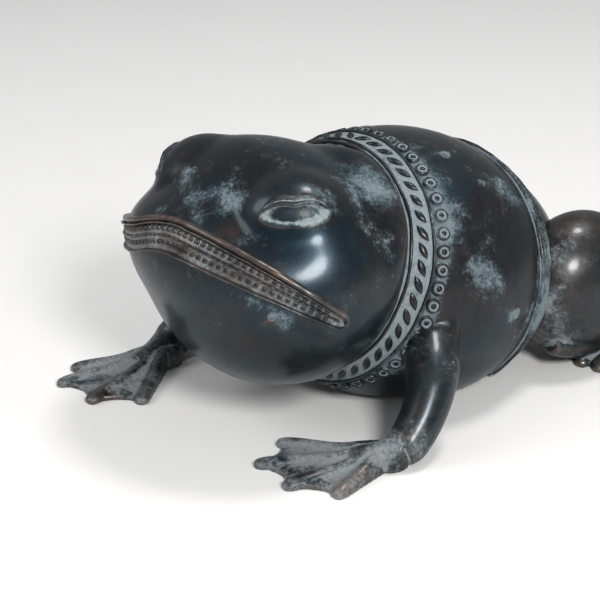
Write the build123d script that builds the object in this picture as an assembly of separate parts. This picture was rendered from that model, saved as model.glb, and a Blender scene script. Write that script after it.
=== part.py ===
from build123d import *
from math import asin, atan, cos, degrees, hypot, pi, radians, sin, sqrt
import os

# A hollow cast bronze frog that sits on four feet. Sizes are in millimetres.
# The frog looks towards -Y, +X is its left side, and the ground is at z = 0.
# Head, body and rump are egg shaped shells that plug into each other behind a
# collar and a belt. Eyes, mouth trim, collar and belt are laid on the shells.

# Trunk axis: height of a point on the neck, and how far the axis rises to the front.
# Places along the frog are given from that point.
NECK_Z = 66.0
TRUNK_PITCH_DEG = 13.0

# Head, measured from the neck point along the trunk axis
HEAD_HALF_WIDTH = 68.0
HEAD_HALF_HEIGHT = 54.0
HEAD_HALF_LENGTH = 55.0
HEAD_FORWARD = 35.0
HEAD_DROP = 1.0

# Body
BODY_HALF_WIDTH = 71.0
BODY_HALF_HEIGHT = 64.5
BODY_HALF_LENGTH = 76.0
BODY_BACK = 46.0
BODY_DROP = 4.5

# Rump
RUMP_HALF_WIDTH = 56.0
RUMP_HALF_HEIGHT = 51.0
RUMP_HALF_LENGTH = 46.0
RUMP_BACK = 88.0
RUMP_DROP = 6.0

# Cast walls, and the flat belly under body and rump
WALL = 4.0
BELLY_HEIGHT = 3.0

# Joint between head and body, which leans with the collar
NECK_JOINT_FORWARD = 3.0
NECK_LEAN_DEG = 9.0
# Joint between body and rump, square to the trunk
RUMP_JOINT_BACK = 90.0
# Spigot of head and rump in the bored lands of the body
BORE_INSET = 7.0
LAND_LENGTH = 10.0
SPIGOT_WALL = 3.5
SPIGOT_CLEARANCE = 0.2
BULKHEAD = 5.0
# Solder line under the straps of collar, belt and mouth
SEAT_GAP = 0.05
# Pins through land and spigot
PIN_RADIUS = 2.0
PIN_CLEARANCE = 0.1
PIN_STICK_OUT = 1.5
PIN_ANGLES_DEG = (-20.0, 20.0, 65.0, 115.0, 160.0, 200.0)

# Collar: strap, three rails, a row of leaves and a row of roundels
COLLAR_STRAP = 1.0
COLLAR_STRAP_WIDTH = 12.0
COLLAR_RAIL_HEIGHT = 1.3
COLLAR_FRONT_RAIL_WIDTH = 1.5
COLLAR_SECOND_RAIL_WIDTH = 1.3
COLLAR_MIDDLE_RAIL_WIDTH = 1.3
COLLAR_RAIL_GAP = 0.8
LEAF_COUNT = 46
LEAF_HALF_LENGTH = 4.1
LEAF_HALF_WIDTH = 1.6
LEAF_HEIGHT = 1.1
LEAF_SLANT_DEG = 24.0
ROUNDEL_COUNT = 46
ROUNDEL_RADIUS = 3.2
ROUNDEL_HEIGHT = 1.7
ROUNDEL_GAP = 0.3
ROUNDEL_GROOVE_OUTER = 2.3
ROUNDEL_GROOVE_INNER = 1.2
ROUNDEL_GROOVE_DEPTH = 0.9

# Belt: strap with one rail apart and a group of fine rails
BELT_STRAP = 1.0
BELT_STRAP_WIDTH = 13.0
BELT_RAIL_HEIGHT = 1.2
BELT_RAIL_WIDTH = 1.5
BELT_RAIL_PITCH = 2.3
BELT_FRONT_GAP = 2.4
BELT_FINE_RAILS = 4

# Mouth: a long band that wraps the snout, from one corner to the other
MOUTH_CORNER_FORWARD = 40.0
MOUTH_CORNER_DROP = 9.4
MOUTH_PITCH_DEG = 17.0
MOUTH_HALF_HEIGHT = 5.2
# How much taller the band is at the snout than at its corners
MOUTH_SNOUT_SHARE = 1.4
MOUTH_STRAP = 0.8
LIP_WIDTH = 1.7
UPPER_LIP_HEIGHT = 2.4
LOWER_LIP_HEIGHT = 1.8
MOUTH_RAIL_HALF_WIDTH = 0.6
MOUTH_RAIL_HEIGHT = 1.2
TOOTH_HEIGHT = 1.0
TOOTH_WIDTH = 2.3
TOOTH_PITCH = 3.5
TOOTH_GAP = 0.35

# Slopes of the snout above the mouth and of the jaw below it
SNOUT_SLOPE_DEG = 38.0
JAW_SLOPE_DEG = -30.0
SLOPE_GAP = 0.5

# Eye lobes on the head, and the eyes in them
LOBE_HALF_WIDTH = 21.0
LOBE_HALF_HEIGHT = 18.5
LOBE_HALF_LENGTH = 26.0
LOBE_SIDE = 33.0
LOBE_RISE = 28.0
LOBE_FORWARD = 48.0
EYE_DIRECTION_SHARES = (0.77, 0.36, 0.53)
EYE_LENGTHWAYS_SHARES = (0.54, 0.15, -0.82)
EYE_HALF_LENGTH = 13.5
EYE_HALF_HEIGHT = 5.4
EYE_DEPTH = 2.6
EYE_SINK = 0.6
EYE_CLEARANCE = 0.15
EYE_RIM_WIDTH = 1.8
EYE_RIM_HEIGHT = 1.3
LID_WIDTH = 3.2
LID_HEIGHT = 2.4
LID_GAP = 0.2

# Plugs in the holes that core pins leave in a casting
PLUG_RADIUS = 2.8
JAW_PLUG_RADIUS = 1.9
PLUG_CLEARANCE = 0.1
BACK_PLUG_SHARES = (0.40, 0.92, 0.11)
FLANK_PLUG_SHARES = (0.98, -0.05, -0.16)
JAW_PLUG_SHARES = (0.76, -0.16, 0.59)

# Forelegs: a bent taper from shoulder to wrist
SHOULDER_INSET = 19.0
SHOULDER_BACK = 20.0
SHOULDER_Z = 64.0
SHOULDER_RADIUS = 14.0
WRIST_RADIUS = 9.2
WRIST_KNOB_RADIUS = 9.8
WRIST_Z = 8.5
# Knees and wrists: how far out from the body's half width, and how far back from the neck
LEFT_KNEE_OUT = 23.0
LEFT_KNEE_BACK = 18.0
LEFT_WRIST_OUT = 6.0
LEFT_WRIST_BACK = -26.0
RIGHT_KNEE_OUT = 19.0
RIGHT_KNEE_BACK = 10.0
RIGHT_WRIST_OUT = -2.0
RIGHT_WRIST_BACK = -42.17
KNEE_Z = 24.0
LEG_STATION_SHARES = (0.0, 0.2, 0.4, 0.6, 0.8, 1.0)
# How far a leg keeps off the collar, the belt and the shells
LEG_CLEARANCE = 0.1
FORELEG_TENON_RADIUS = 6.0
FORELEG_TENON_BACK = 4.5
FORELEG_TENON_SHARE = 0.24
HIND_TENON_RADIUS = 8.0
TENON_CLEARANCE = 0.15
TENON_STICK_OUT = 9.0
COTTER_RADIUS = 1.8
COTTER_HALF_LENGTH = 12.0
COTTER_CLEARANCE = 0.1

# Front feet: toe lengths from the wrist and their turn inwards
LEFT_TOE_LENGTHS = (50.0, 56.0, 48.0, 36.0)
LEFT_TOE_TURNS_DEG = (60.0, 38.0, 14.0, -12.0)
RIGHT_TOE_LENGTHS = (45.0, 53.0, 53.0, 43.5)
RIGHT_TOE_TURNS_DEG = (42.0, 16.0, -11.0, -28.0)
TOE_ROOT_RADIUS = 6.4
TOE_TIP_RADIUS = 3.0
TOE_BALL_RADIUS = 3.3
WEB_THICKNESS = 3.2
WEB_TOE_SHARE = 0.86
WEB_NOTCH_SHARE = 0.74

# Hind legs: a folded haunch over a small foot
HAUNCH_HALF_WIDTH = 27.0
HAUNCH_HALF_LENGTH = 36.0
HAUNCH_HALF_HEIGHT = 36.0
HAUNCH_INSET = 6.0
HAUNCH_BACK = 117.5
HAUNCH_Z = 37.0
HIND_ANKLE_BACK = 19.0
HIND_ANKLE_OUT = 8.0
HIND_TOE_LENGTHS = (25.0, 29.0, 30.0, 27.0)
HIND_TOE_TURNS_DEG = (10.0, -10.0, -30.0, -52.0)

# Plate over the core opening in the belly
PLATE_WIDTH_SHARE = 0.46
PLATE_LENGTH_SHARE = 0.8
PLATE_THICKNESS = 2.0
PLATE_LEDGE = 5.0
PLATE_CLEARANCE = 0.2
RIVET_RADIUS = 1.5
RIVET_CLEARANCE = 0.05
RIVET_STICK_OUT = 1.0

# How far a cutting shape runs past what it cuts
OVERRUN = 30.0

# The neck lies where the longest toe and the haunches reach equally far from the origin
RIGHT_FOOT_LENGTH = TOE_BALL_RADIUS + max(
    length * cos(radians(turn)) for length, turn in zip(RIGHT_TOE_LENGTHS, RIGHT_TOE_TURNS_DEG)
)
FRONT_REACH = RIGHT_FOOT_LENGTH - RIGHT_WRIST_BACK
REAR_REACH = HAUNCH_BACK + HAUNCH_HALF_LENGTH
NECK_Y = (FRONT_REACH - REAR_REACH) / 2
REACH = FRONT_REACH + REAR_REACH + OVERRUN

PITCH = radians(TRUNK_PITCH_DEG)
TRUNK = Plane(origin=(0, NECK_Y, NECK_Z), x_dir=(1, 0, 0), z_dir=(0, -cos(PITCH), sin(PITCH)))
HAUNCH_Y = NECK_Y + HAUNCH_BACK
HAUNCH_SIDE = RUMP_HALF_WIDTH - HAUNCH_INSET


class Egg:
    """An ellipsoid in the trunk frame: half sizes across, up and along, and its centre."""

    def __init__(self, half_sizes, centre):
        self.half_sizes = half_sizes
        self.centre = centre

    def grown(self, grow):
        """The same egg with every half size grown."""
        return Egg([half + grow for half in self.half_sizes], self.centre)

    def solid(self, grow=0.0):
        """The grown egg as a solid, sewn from a left and a right skin."""
        half_ball = Sphere(1, arc_size3=180, align=(Align.CENTER, Align.MIN, Align.CENTER))
        half_egg = scale(Rot(X=90) * (Rot(Z=-90) * half_ball), by=tuple(self.grown(grow).half_sizes))
        skin = half_egg.faces().sort_by(SortBy.AREA)[-1]
        return Pos(*self.centre) * Solid(Shell([skin, mirror(skin, about=Plane.YZ).face()]))

    def section(self, cut):
        """Centre height, half width and half height of the oval that a cut makes."""
        across, up, along = self.half_sizes
        rise = cut.origin[0] - self.centre[1]
        ahead = cut.origin[1] - self.centre[2]
        cos_lean, sin_lean = cos(cut.lean), sin(cut.lean)
        square = (cos_lean / up) ** 2 + (sin_lean / along) ** 2
        cross = 2 * (rise * cos_lean / up**2 - ahead * sin_lean / along**2)
        rest = (rise / up) ** 2 + (ahead / along) ** 2
        middle = -cross / (2 * square)
        left_over = 1 - rest + cross**2 / (4 * square)
        return middle, across * sqrt(left_over), sqrt(left_over / square)

    def spot(self, shares):
        """The point on the surface in the direction of the given shares, and its normal."""
        size = sqrt(sum(share**2 for share in shares))
        offset = [half * share / size for half, share in zip(self.half_sizes, shares)]
        point = [c + o for c, o in zip(self.centre, offset)]
        normal = [o / half**2 for o, half in zip(offset, self.half_sizes)]
        return point, normal

    def ring_plane(self, cut, angle):
        """A plane on the surface where a cut meets it, with its x axis along the cut."""
        middle, half_width, half_height = self.section(cut)
        height = middle + half_height * sin(angle)
        point = cut.point(half_width * cos(angle), height)
        normal = [(p - c) / half**2 for p, c, half in zip(point, self.centre, self.half_sizes)]
        ahead = cut.point(-half_width * sin(angle), half_height * cos(angle) + middle)
        centre = cut.point(0, middle)
        along = [a - c for a, c in zip(ahead, centre)]
        return Plane(origin=tuple(point), x_dir=tuple(along), z_dir=tuple(normal))


class Cut:
    """A plane across the trunk that leans about the x axis, with a place up and ahead."""

    def __init__(self, rise, ahead, lean_deg, shift=0.0):
        self.lean = radians(lean_deg)
        self.lean_deg = lean_deg
        self.origin = (rise + shift * sin(self.lean), ahead + shift * cos(self.lean))
        normal = (0, sin(self.lean), cos(self.lean))
        self.plane = Plane(origin=(0, *self.origin), x_dir=(1, 0, 0), z_dir=normal)

    def moved(self, shift):
        """The same plane moved along its normal."""
        return Cut(self.origin[0], self.origin[1], self.lean_deg, shift)

    def point(self, across, height):
        """The place of a point given across and up within the plane."""
        rise, ahead = self.origin
        return [across, rise + height * cos(self.lean), ahead - height * sin(self.lean)]

    def beyond(self, shift, side):
        """Everything past a shift of the plane, ahead of it or behind it."""
        box = Box(2 * REACH, 2 * REACH, 2 * REACH)
        return self.plane * Pos(0, 0, shift + side * REACH) * box

    def trim(self, shape, low, high):
        """What a shape has between two shifts of the plane."""
        return shape - self.beyond(high, 1) - self.beyond(low, -1)

    def height_of(self, level):
        """How high within the plane a horizontal level at the middle lies."""
        rise, ahead = self.origin
        start = NECK_Z + rise * cos(PITCH) + ahead * sin(PITCH)
        return (level - start) / cos(self.lean + PITCH)

    def world_y(self, shift, level):
        """Where along the frog the plane, moved by a shift, crosses a level."""
        moved = self.moved(shift)
        rise, ahead = moved.point(0, moved.height_of(level))[1:]
        return NECK_Y + rise * sin(PITCH) - ahead * cos(PITCH)


HEAD = Egg((HEAD_HALF_WIDTH, HEAD_HALF_HEIGHT, HEAD_HALF_LENGTH), (0, -HEAD_DROP, HEAD_FORWARD))
BODY = Egg((BODY_HALF_WIDTH, BODY_HALF_HEIGHT, BODY_HALF_LENGTH), (0, -BODY_DROP, -BODY_BACK))
RUMP = Egg((RUMP_HALF_WIDTH, RUMP_HALF_HEIGHT, RUMP_HALF_LENGTH), (0, -RUMP_DROP, -RUMP_BACK))
LOBE = Egg((LOBE_HALF_WIDTH, LOBE_HALF_HEIGHT, LOBE_HALF_LENGTH), (LOBE_SIDE, LOBE_RISE, LOBE_FORWARD))
NECK_CUT = Cut(0, NECK_JOINT_FORWARD, NECK_LEAN_DEG)
RUMP_CUT = Cut(0, -RUMP_JOINT_BACK, 0)
MOUTH_CUT = Cut(-MOUTH_CORNER_DROP, MOUTH_CORNER_FORWARD, MOUTH_PITCH_DEG - 90)


def solids_of(shape):
    """Every solid of a shape as one compound."""
    return Compound(children=shape.solids())


def below(level):
    """Everything in the world frame below a level."""
    return Pos(0, 0, level - REACH) * Box(2 * REACH, 2 * REACH, 2 * REACH)


def to_trunk(x, y, z):
    """A world point in trunk coordinates: across, up and ahead."""
    back, rise = y - NECK_Y, z - NECK_Z
    return x, back * sin(PITCH) + rise * cos(PITCH), rise * sin(PITCH) - back * cos(PITCH)


def wall_x(egg, y, z, grow):
    """How far out an egg's grown surface lies at a world height and length."""
    _, up, ahead = to_trunk(0, y, z)
    half = [size + grow for size in egg.half_sizes]
    left_over = 1 - ((up - egg.centre[1]) / half[1]) ** 2 - ((ahead - egg.centre[2]) / half[2]) ** 2
    return half[0] * sqrt(left_over)


def bore_oval(egg, cut):
    """Centre height and half sizes of the bore at a joint, kept off wall and belly."""
    middle, half_width, half_height = egg.section(cut)
    top = middle + half_height - BORE_INSET
    bottom = max(middle - half_height, cut.height_of(BELLY_HEIGHT)) + BORE_INSET
    return (top + bottom) / 2, half_width - BORE_INSET, (top - bottom) / 2


def oval_post(cut, oval, inset, start, end):
    """A straight oval post between two shifts of a joint plane."""
    middle, half_width, half_height = oval
    face = Pos(0, middle) * Ellipse(half_width - inset, half_height - inset)
    post = extrude(face, amount=abs(end - start))
    return cut.plane * Pos(0, 0, min(start, end)) * post


def spigot(cut, oval, side):
    """The tube that plugs into a land; side tells which way it points."""
    reach = side * LAND_LENGTH
    outer = oval_post(cut, oval, SPIGOT_CLEARANCE, -side * BULKHEAD, reach)
    inset = SPIGOT_CLEARANCE + SPIGOT_WALL
    inner = oval_post(cut, oval, inset, -side * (BULKHEAD + WALL), side * OVERRUN)
    return outer, inner


def joint_pins(cut, oval, side, radius):
    """Round posts through land and spigot, set out around a joint."""
    middle, half_width, half_height = oval
    level = side * LAND_LENGTH / 2
    inset = SPIGOT_CLEARANCE + SPIGOT_WALL
    posts = []
    for angle_deg in PIN_ANGLES_DEG:
        angle = radians(angle_deg)
        a, b = half_width - inset, half_height - inset
        start = a * b / hypot(b * cos(angle), a * sin(angle)) - PIN_STICK_OUT
        post = Rot(Y=90) * Cylinder(radius, REACH, align=(Align.CENTER, Align.CENTER, Align.MIN))
        posts.append(cut.plane * Pos(0, middle, level) * Rot(Z=angle_deg) * Pos(start, 0, 0) * post)
    return posts


NECK_BORE = bore_oval(BODY, NECK_CUT)
RUMP_BORE = bore_oval(BODY, RUMP_CUT)


def mirrored(shape):
    """The other side's copy of a piece."""
    return mirror(shape, about=Plane.YZ)


def place(shape):
    """Move a trunk-frame shape to its place in the world."""
    return TRUNK * shape


def plug_posts(egg, shares, radius):
    """Round posts through a wall, one on each side."""
    point, normal = egg.spot(shares)
    post = Plane(origin=tuple(point), z_dir=tuple(normal)) * Cylinder(radius, WALL * 4)
    return [post, mirrored(post)]


def eye_plane():
    """The plane on the left lobe that the eye lies in, x towards the rear and y up."""
    point, normal = LOBE.spot(EYE_DIRECTION_SHARES)
    return Plane(origin=tuple(point), x_dir=EYE_LENGTHWAYS_SHARES, z_dir=tuple(normal))


def eye_post(grow):
    """An oval post that runs through the left eye."""
    oval = Ellipse(EYE_HALF_LENGTH + grow, EYE_HALF_HEIGHT + grow)
    return eye_plane() * extrude(oval, amount=LOBE_HALF_HEIGHT / 2, both=True)


def eye_pocket():
    """The pocket in the head that takes the left eye."""
    return eye_post(0) - LOBE.solid(-EYE_DEPTH)


def sloped(shape, shift):
    """A shape of the head cut back to the slopes above and below the mouth."""
    edge = MOUTH_HALF_HEIGHT * MOUTH_SNOUT_SHARE + SLOPE_GAP
    for side, lean_deg in ((1, SNOUT_SLOPE_DEG), (-1, JAW_SLOPE_DEG)):
        start = HEAD.ring_plane(MOUTH_CUT.moved(-side * edge), pi / 2).origin
        shape = shape - Cut(start.Y, start.Z, lean_deg).beyond(shift, 1)
    return shape


def make_head():
    """Head shell with eye lobes, sloping snout, neck spigot and holes."""
    lobe = LOBE.solid()
    front = HEAD.solid() - NECK_CUT.beyond(0, -1)
    hollow = HEAD.solid(-WALL) - NECK_CUT.beyond(BULKHEAD, -1)
    tube, tube_hole = spigot(NECK_CUT, NECK_BORE, -1)
    head = sloped(front + lobe + mirrored(lobe), 0) - sloped(hollow, -WALL)
    head = head + tube - tube_hole
    head = head - joint_pins(NECK_CUT, NECK_BORE, -1, PIN_RADIUS + PIN_CLEARANCE)
    head = head - plug_posts(HEAD, JAW_PLUG_SHARES, JAW_PLUG_RADIUS + PLUG_CLEARANCE)
    pocket = eye_pocket()
    return place(head - pocket - mirrored(pocket))


def tenon_post(side, y, z, radius, outer_x, inner_x):
    """A level round post across the frog between two distances from the middle."""
    post = Rot(Y=90) * Cylinder(radius, outer_x - inner_x)
    return Pos(side * (outer_x + inner_x) / 2, y, z) * post


def plate_oval():
    """Middle, half width and half length of the plate, on the flat belly between the joints."""
    _, up, ahead = to_trunk(0, 0, BELLY_HEIGHT)
    middle, half_width, half_length = BODY.section(Cut(up, ahead, 90 - TRUNK_PITCH_DEG))
    level = BELLY_HEIGHT + WALL
    front = max(middle - half_length, NECK_CUT.world_y(-LAND_LENGTH, level))
    rear = min(middle + half_length, RUMP_CUT.world_y(LAND_LENGTH, level))
    return (front + rear) / 2, PLATE_WIDTH_SHARE * half_width, PLATE_LENGTH_SHARE * (rear - front) / 2


def belly_oval(inset, start, end):
    """An upright oval post at the middle of the belly."""
    middle, half_width, half_length = plate_oval()
    face = Ellipse(half_width - inset, half_length - inset)
    return Pos(0, middle, start) * extrude(face, amount=end - start)


def rivet_posts(radius):
    """Four upright posts on the plate's ledge."""
    ledge_middle = PLATE_CLEARANCE + PLATE_LEDGE / 2
    height = WALL + RIVET_STICK_OUT
    post = Cylinder(radius, height, align=(Align.CENTER, Align.CENTER, Align.MIN))
    middle, half_width, half_length = plate_oval()
    across, along = half_width - ledge_middle, half_length - ledge_middle
    places = [(across, 0), (-across, 0), (0, along), (0, -along)]
    return [Pos(x, middle + y, BELLY_HEIGHT) * post for x, y in places]


def make_body():
    """Body shell: bored lands at both ends, leg holes, plug holes and a belly opening."""
    hollow = BODY.solid(-WALL) - NECK_CUT.beyond(-LAND_LENGTH, 1) - RUMP_CUT.beyond(LAND_LENGTH, -1)
    hollow = place(hollow) - below(BELLY_HEIGHT + WALL)
    body = BODY.solid() - NECK_CUT.beyond(0, 1) - RUMP_CUT.beyond(0, -1)
    body = place(body) - below(BELLY_HEIGHT) - hollow
    body = body - place(oval_post(NECK_CUT, NECK_BORE, 0, -LAND_LENGTH - WALL, OVERRUN))
    body = body - place(oval_post(RUMP_CUT, RUMP_BORE, 0, -OVERRUN, LAND_LENGTH + WALL))
    hole = PIN_RADIUS + PIN_CLEARANCE
    pins = joint_pins(NECK_CUT, NECK_BORE, -1, hole) + joint_pins(RUMP_CUT, RUMP_BORE, 1, hole)
    body = body - [place(pin) for pin in pins]
    plugs = plug_posts(BODY, BACK_PLUG_SHARES, PLUG_RADIUS + PLUG_CLEARANCE)
    plugs += plug_posts(BODY, FLANK_PLUG_SHARES, PLUG_RADIUS + PLUG_CLEARANCE)
    body = body - [place(plug) for plug in plugs]
    body = body - [foreleg_tenon(side, TENON_CLEARANCE, OVERRUN) for side in (1, -1)]
    body = body - belly_oval(0, BELLY_HEIGHT - OVERRUN, BELLY_HEIGHT + PLATE_THICKNESS)
    body = body - belly_oval(PLATE_LEDGE, BELLY_HEIGHT, BELLY_HEIGHT + 2 * WALL)
    return body - rivet_posts(RIVET_RADIUS + RIVET_CLEARANCE)


def make_rump():
    """Rump shell with its spigot and the holes for the hind legs."""
    outer = place(RUMP.solid() - RUMP_CUT.beyond(0, 1)) - below(BELLY_HEIGHT)
    hollow = place(RUMP.solid(-WALL) - RUMP_CUT.beyond(-BULKHEAD, 1)) - below(BELLY_HEIGHT + WALL)
    tube, tube_hole = spigot(RUMP_CUT, RUMP_BORE, 1)
    rump = outer - hollow + place(tube) - place(tube_hole)
    pins = joint_pins(RUMP_CUT, RUMP_BORE, 1, PIN_RADIUS + PIN_CLEARANCE)
    rump = rump - [place(pin) for pin in pins]
    return rump - [hind_tenon(side, TENON_CLEARANCE, OVERRUN) for side in (1, -1)]


def make_pins(cut, oval, side):
    """The pins of one joint, flush with the body's surface."""
    return solids_of(place(Compound(joint_pins(cut, oval, side, PIN_RADIUS)) & BODY.solid()))


def make_plugs():
    """All core plugs, flush with the walls inside and out."""
    body_posts = plug_posts(BODY, BACK_PLUG_SHARES, PLUG_RADIUS)
    body_posts += plug_posts(BODY, FLANK_PLUG_SHARES, PLUG_RADIUS)
    jaw_posts = plug_posts(HEAD, JAW_PLUG_SHARES, JAW_PLUG_RADIUS)
    plugs = [(post & BODY.solid()) - BODY.solid(-WALL) for post in body_posts]
    plugs += [(post & HEAD.solid()) - HEAD.solid(-WALL) for post in jaw_posts]
    return place(Compound([solid for plug in plugs for solid in plug.solids()]))


def strap_ring(cut, start, end, inner, outer):
    """A ring on the body between two shifts of a cut, from one height to another."""
    ring = cut.trim(BODY.solid(outer), min(start, end), max(start, end)) - BODY.solid(inner)
    return solids_of(place(ring) - below(BELLY_HEIGHT))


def clear_of_ground(pieces):
    """The pieces that lie above the level of the flat belly, in the world frame."""
    placed = [place(piece) for piece in pieces]
    return Compound([piece.solid() for piece in placed if piece.bounding_box().min.Z > BELLY_HEIGHT])


def collar_starts():
    """Front edges of the collar's rails, as shifts behind the neck joint."""
    second = COLLAR_FRONT_RAIL_WIDTH + COLLAR_RAIL_GAP
    middle = COLLAR_STRAP_WIDTH - COLLAR_MIDDLE_RAIL_WIDTH
    return second, middle


def collar_rail(start, width):
    """One raised rail round the collar."""
    top = COLLAR_STRAP + COLLAR_RAIL_HEIGHT
    return strap_ring(NECK_CUT, -start, -start - width, COLLAR_STRAP, top)


def spread(count):
    """Even angles round a ring."""
    return [2 * pi * (step + 1 / 2) / count for step in range(count)]


def leaf_face():
    """A pointed leaf outline that lies along x."""
    tip, side = (LEAF_HALF_LENGTH, 0), (0, LEAF_HALF_WIDTH)
    upper = ThreePointArc((-LEAF_HALF_LENGTH, 0), side, tip)
    lower = ThreePointArc(tip, (0, -LEAF_HALF_WIDTH), (-LEAF_HALF_LENGTH, 0))
    return make_face(Curve() + [upper, lower])


def make_leaves():
    """The row of slanted leaves on the collar strap."""
    second, middle = collar_starts()
    row = NECK_CUT.moved(-(second + COLLAR_SECOND_RAIL_WIDTH + middle) / 2)
    strap = BODY.grown(COLLAR_STRAP)
    leaf = extrude(leaf_face(), amount=LEAF_HEIGHT)
    leaves = []
    for angle in spread(LEAF_COUNT):
        turn = LEAF_SLANT_DEG if cos(angle) > 0 else -LEAF_SLANT_DEG
        leaves.append(strap.ring_plane(row, angle) * Rot(Z=turn) * leaf)
    return clear_of_ground(leaves)


def roundel_row():
    """The cut that the roundels sit on, behind the collar strap."""
    return NECK_CUT.moved(-COLLAR_STRAP_WIDTH - ROUNDEL_GAP - ROUNDEL_RADIUS)


def make_roundels():
    """The row of ringed discs behind the collar strap."""
    row = roundel_row()
    on_floor = (Align.CENTER, Align.CENTER, Align.MIN)
    groove = Cylinder(ROUNDEL_GROOVE_OUTER, ROUNDEL_HEIGHT, align=on_floor)
    groove = groove - Cylinder(ROUNDEL_GROOVE_INNER, ROUNDEL_HEIGHT, align=on_floor)
    disc = Cylinder(ROUNDEL_RADIUS, ROUNDEL_HEIGHT, align=on_floor)
    disc = disc - Pos(0, 0, ROUNDEL_HEIGHT - ROUNDEL_GROOVE_DEPTH) * groove
    return clear_of_ground([BODY.ring_plane(row, angle) * disc for angle in spread(ROUNDEL_COUNT)])


def belt_rail(start):
    """One raised rail round the belt, from its front edge towards the rear."""
    top = BELT_STRAP + BELT_RAIL_HEIGHT
    front = BELT_STRAP_WIDTH - start
    return strap_ring(RUMP_CUT, front, front - BELT_RAIL_WIDTH, BELT_STRAP, top)


def belt_starts():
    """Front edges of the belt's rails, behind the strap's front edge."""
    first_fine = BELT_RAIL_WIDTH + BELT_FRONT_GAP
    return [0.0] + [first_fine + BELT_RAIL_PITCH * step for step in range(BELT_FINE_RAILS)]


def mouth_plane():
    """Plane at the corner of the mouth: x along the mouth, y up, z across."""
    rise = radians(MOUTH_PITCH_DEG)
    origin = (0, -MOUTH_CORNER_DROP, MOUTH_CORNER_FORWARD)
    return Plane(origin=origin, x_dir=(0, sin(rise), cos(rise)), z_dir=(-1, 0, 0))


def mouth_flare():
    """How fast the mouth grows in height along its length, as a share."""
    middle, _, half_length = HEAD.section(MOUTH_CUT)
    return (MOUTH_SNOUT_SHARE - 1) / (middle + half_length - MOUTH_HALF_HEIGHT)


def mouth_face(half_height):
    """The outline of the mouth band seen from the side, round at the corner."""
    start, end = MOUTH_HALF_HEIGHT, MOUTH_HALF_HEIGHT + REACH
    far = half_height * (1 + mouth_flare() * REACH)
    corners = [(start, half_height), (end, far), (end, -far), (start, -half_height)]
    bar = make_face(Polyline(*corners, close=True))
    return bar + Pos(MOUTH_HALF_HEIGHT, 0) * Circle(half_height)


def mouth_piece(face, inner, outer):
    """A piece of mouth trim: a side outline run across a layer on the head."""
    post = mouth_plane() * extrude(face, amount=REACH, both=True)
    return solids_of(place((HEAD.solid(outer) & post) - HEAD.solid(inner)))


def lip(side, height):
    """One lip: the upper or lower half of the mouth's raised edge."""
    edge = mouth_face(MOUTH_HALF_HEIGHT) - mouth_face(MOUTH_HALF_HEIGHT - LIP_WIDTH)
    align = (Align.CENTER, Align.MIN if side > 0 else Align.MAX)
    half = edge & Rectangle(2 * REACH, 2 * REACH, align=align)
    return mouth_piece(half, MOUTH_STRAP, MOUTH_STRAP + height)


def mouth_rail():
    """The rail along the middle of the mouth."""
    align = (Align.MIN, Align.CENTER)
    bar = Pos(MOUTH_HALF_HEIGHT, 0) * Rectangle(REACH, 2 * MOUTH_RAIL_HALF_WIDTH, align=align)
    return mouth_piece(bar, MOUTH_STRAP, MOUTH_STRAP + MOUTH_RAIL_HEIGHT)


def tooth_angles(cut):
    """Angles along the mouth that are evenly spaced on the head, snout first."""
    middle, half_width, half_height = HEAD.section(cut)
    fine = TOOTH_PITCH / (BODY_HALF_WIDTH + REACH)
    stop = asin(min(1, max(-1, (2 * MOUTH_HALF_HEIGHT - middle) / half_height)))
    angle, gone, next_at, found = pi / 2, 0.0, TOOTH_PITCH / 2, []
    while angle > stop:
        gone += fine * hypot(half_width * sin(angle), half_height * cos(angle))
        angle -= fine
        if gone >= next_at and angle > stop:
            found.append(angle)
            next_at += TOOTH_PITCH
    return found


def tooth_row(side):
    """One row of teeth between the middle rail and a lip."""
    low = MOUTH_RAIL_HALF_WIDTH + TOOTH_GAP
    high = MOUTH_HALF_HEIGHT - LIP_WIDTH - TOOTH_GAP
    middle = (low + high) / 2
    start = MOUTH_CUT.moved(-side * middle * (1 - mouth_flare() * MOUTH_HALF_HEIGHT))
    row = Cut(*start.origin, MOUTH_CUT.lean_deg + side * degrees(atan(middle * mouth_flare())))
    strap = HEAD.grown(MOUTH_STRAP)
    block = Box(TOOTH_WIDTH, high - low, TOOTH_HEIGHT, align=(Align.CENTER, Align.CENTER, Align.MIN))
    teeth = [strap.ring_plane(row, angle) * block for angle in tooth_angles(row)]
    teeth += [mirrored(tooth) for tooth in teeth]
    return Compound([place(tooth).solid() for tooth in teeth])


def make_eye():
    """Left eyeball, a low oval in its pocket."""
    eye = (eye_post(-EYE_CLEARANCE) & LOBE.solid(-EYE_SINK)) - LOBE.solid(-EYE_DEPTH)
    return solids_of(place(eye))


def make_eye_rim():
    """Left eye rim, a raised oval edge round the eye."""
    rim = (eye_post(EYE_RIM_WIDTH) - eye_post(0)) & LOBE.solid(EYE_RIM_HEIGHT)
    return solids_of(place(rim - LOBE.solid() - HEAD.solid()))


def make_lid():
    """Left upper eyelid, a heavy brow over the rim."""
    outer = eye_post(EYE_RIM_WIDTH + LID_GAP + LID_WIDTH)
    inner = eye_post(EYE_RIM_WIDTH + LID_GAP)
    upper = eye_plane() * Box(2 * REACH, REACH, REACH, align=(Align.CENTER, Align.MIN, Align.CENTER))
    lid = ((outer - inner) & upper) & LOBE.solid(LID_HEIGHT)
    return solids_of(place(lid - LOBE.solid() - HEAD.solid()))


def leg_points(side, knee, wrist):
    """Shoulder, knee pull and wrist of a foreleg."""
    places = [(-SHOULDER_INSET, SHOULDER_BACK, SHOULDER_Z), (*knee, KNEE_Z), (*wrist, WRIST_Z)]
    return [Vector(side * (BODY_HALF_WIDTH + out), NECK_Y + back, z) for out, back, z in places]


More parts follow.
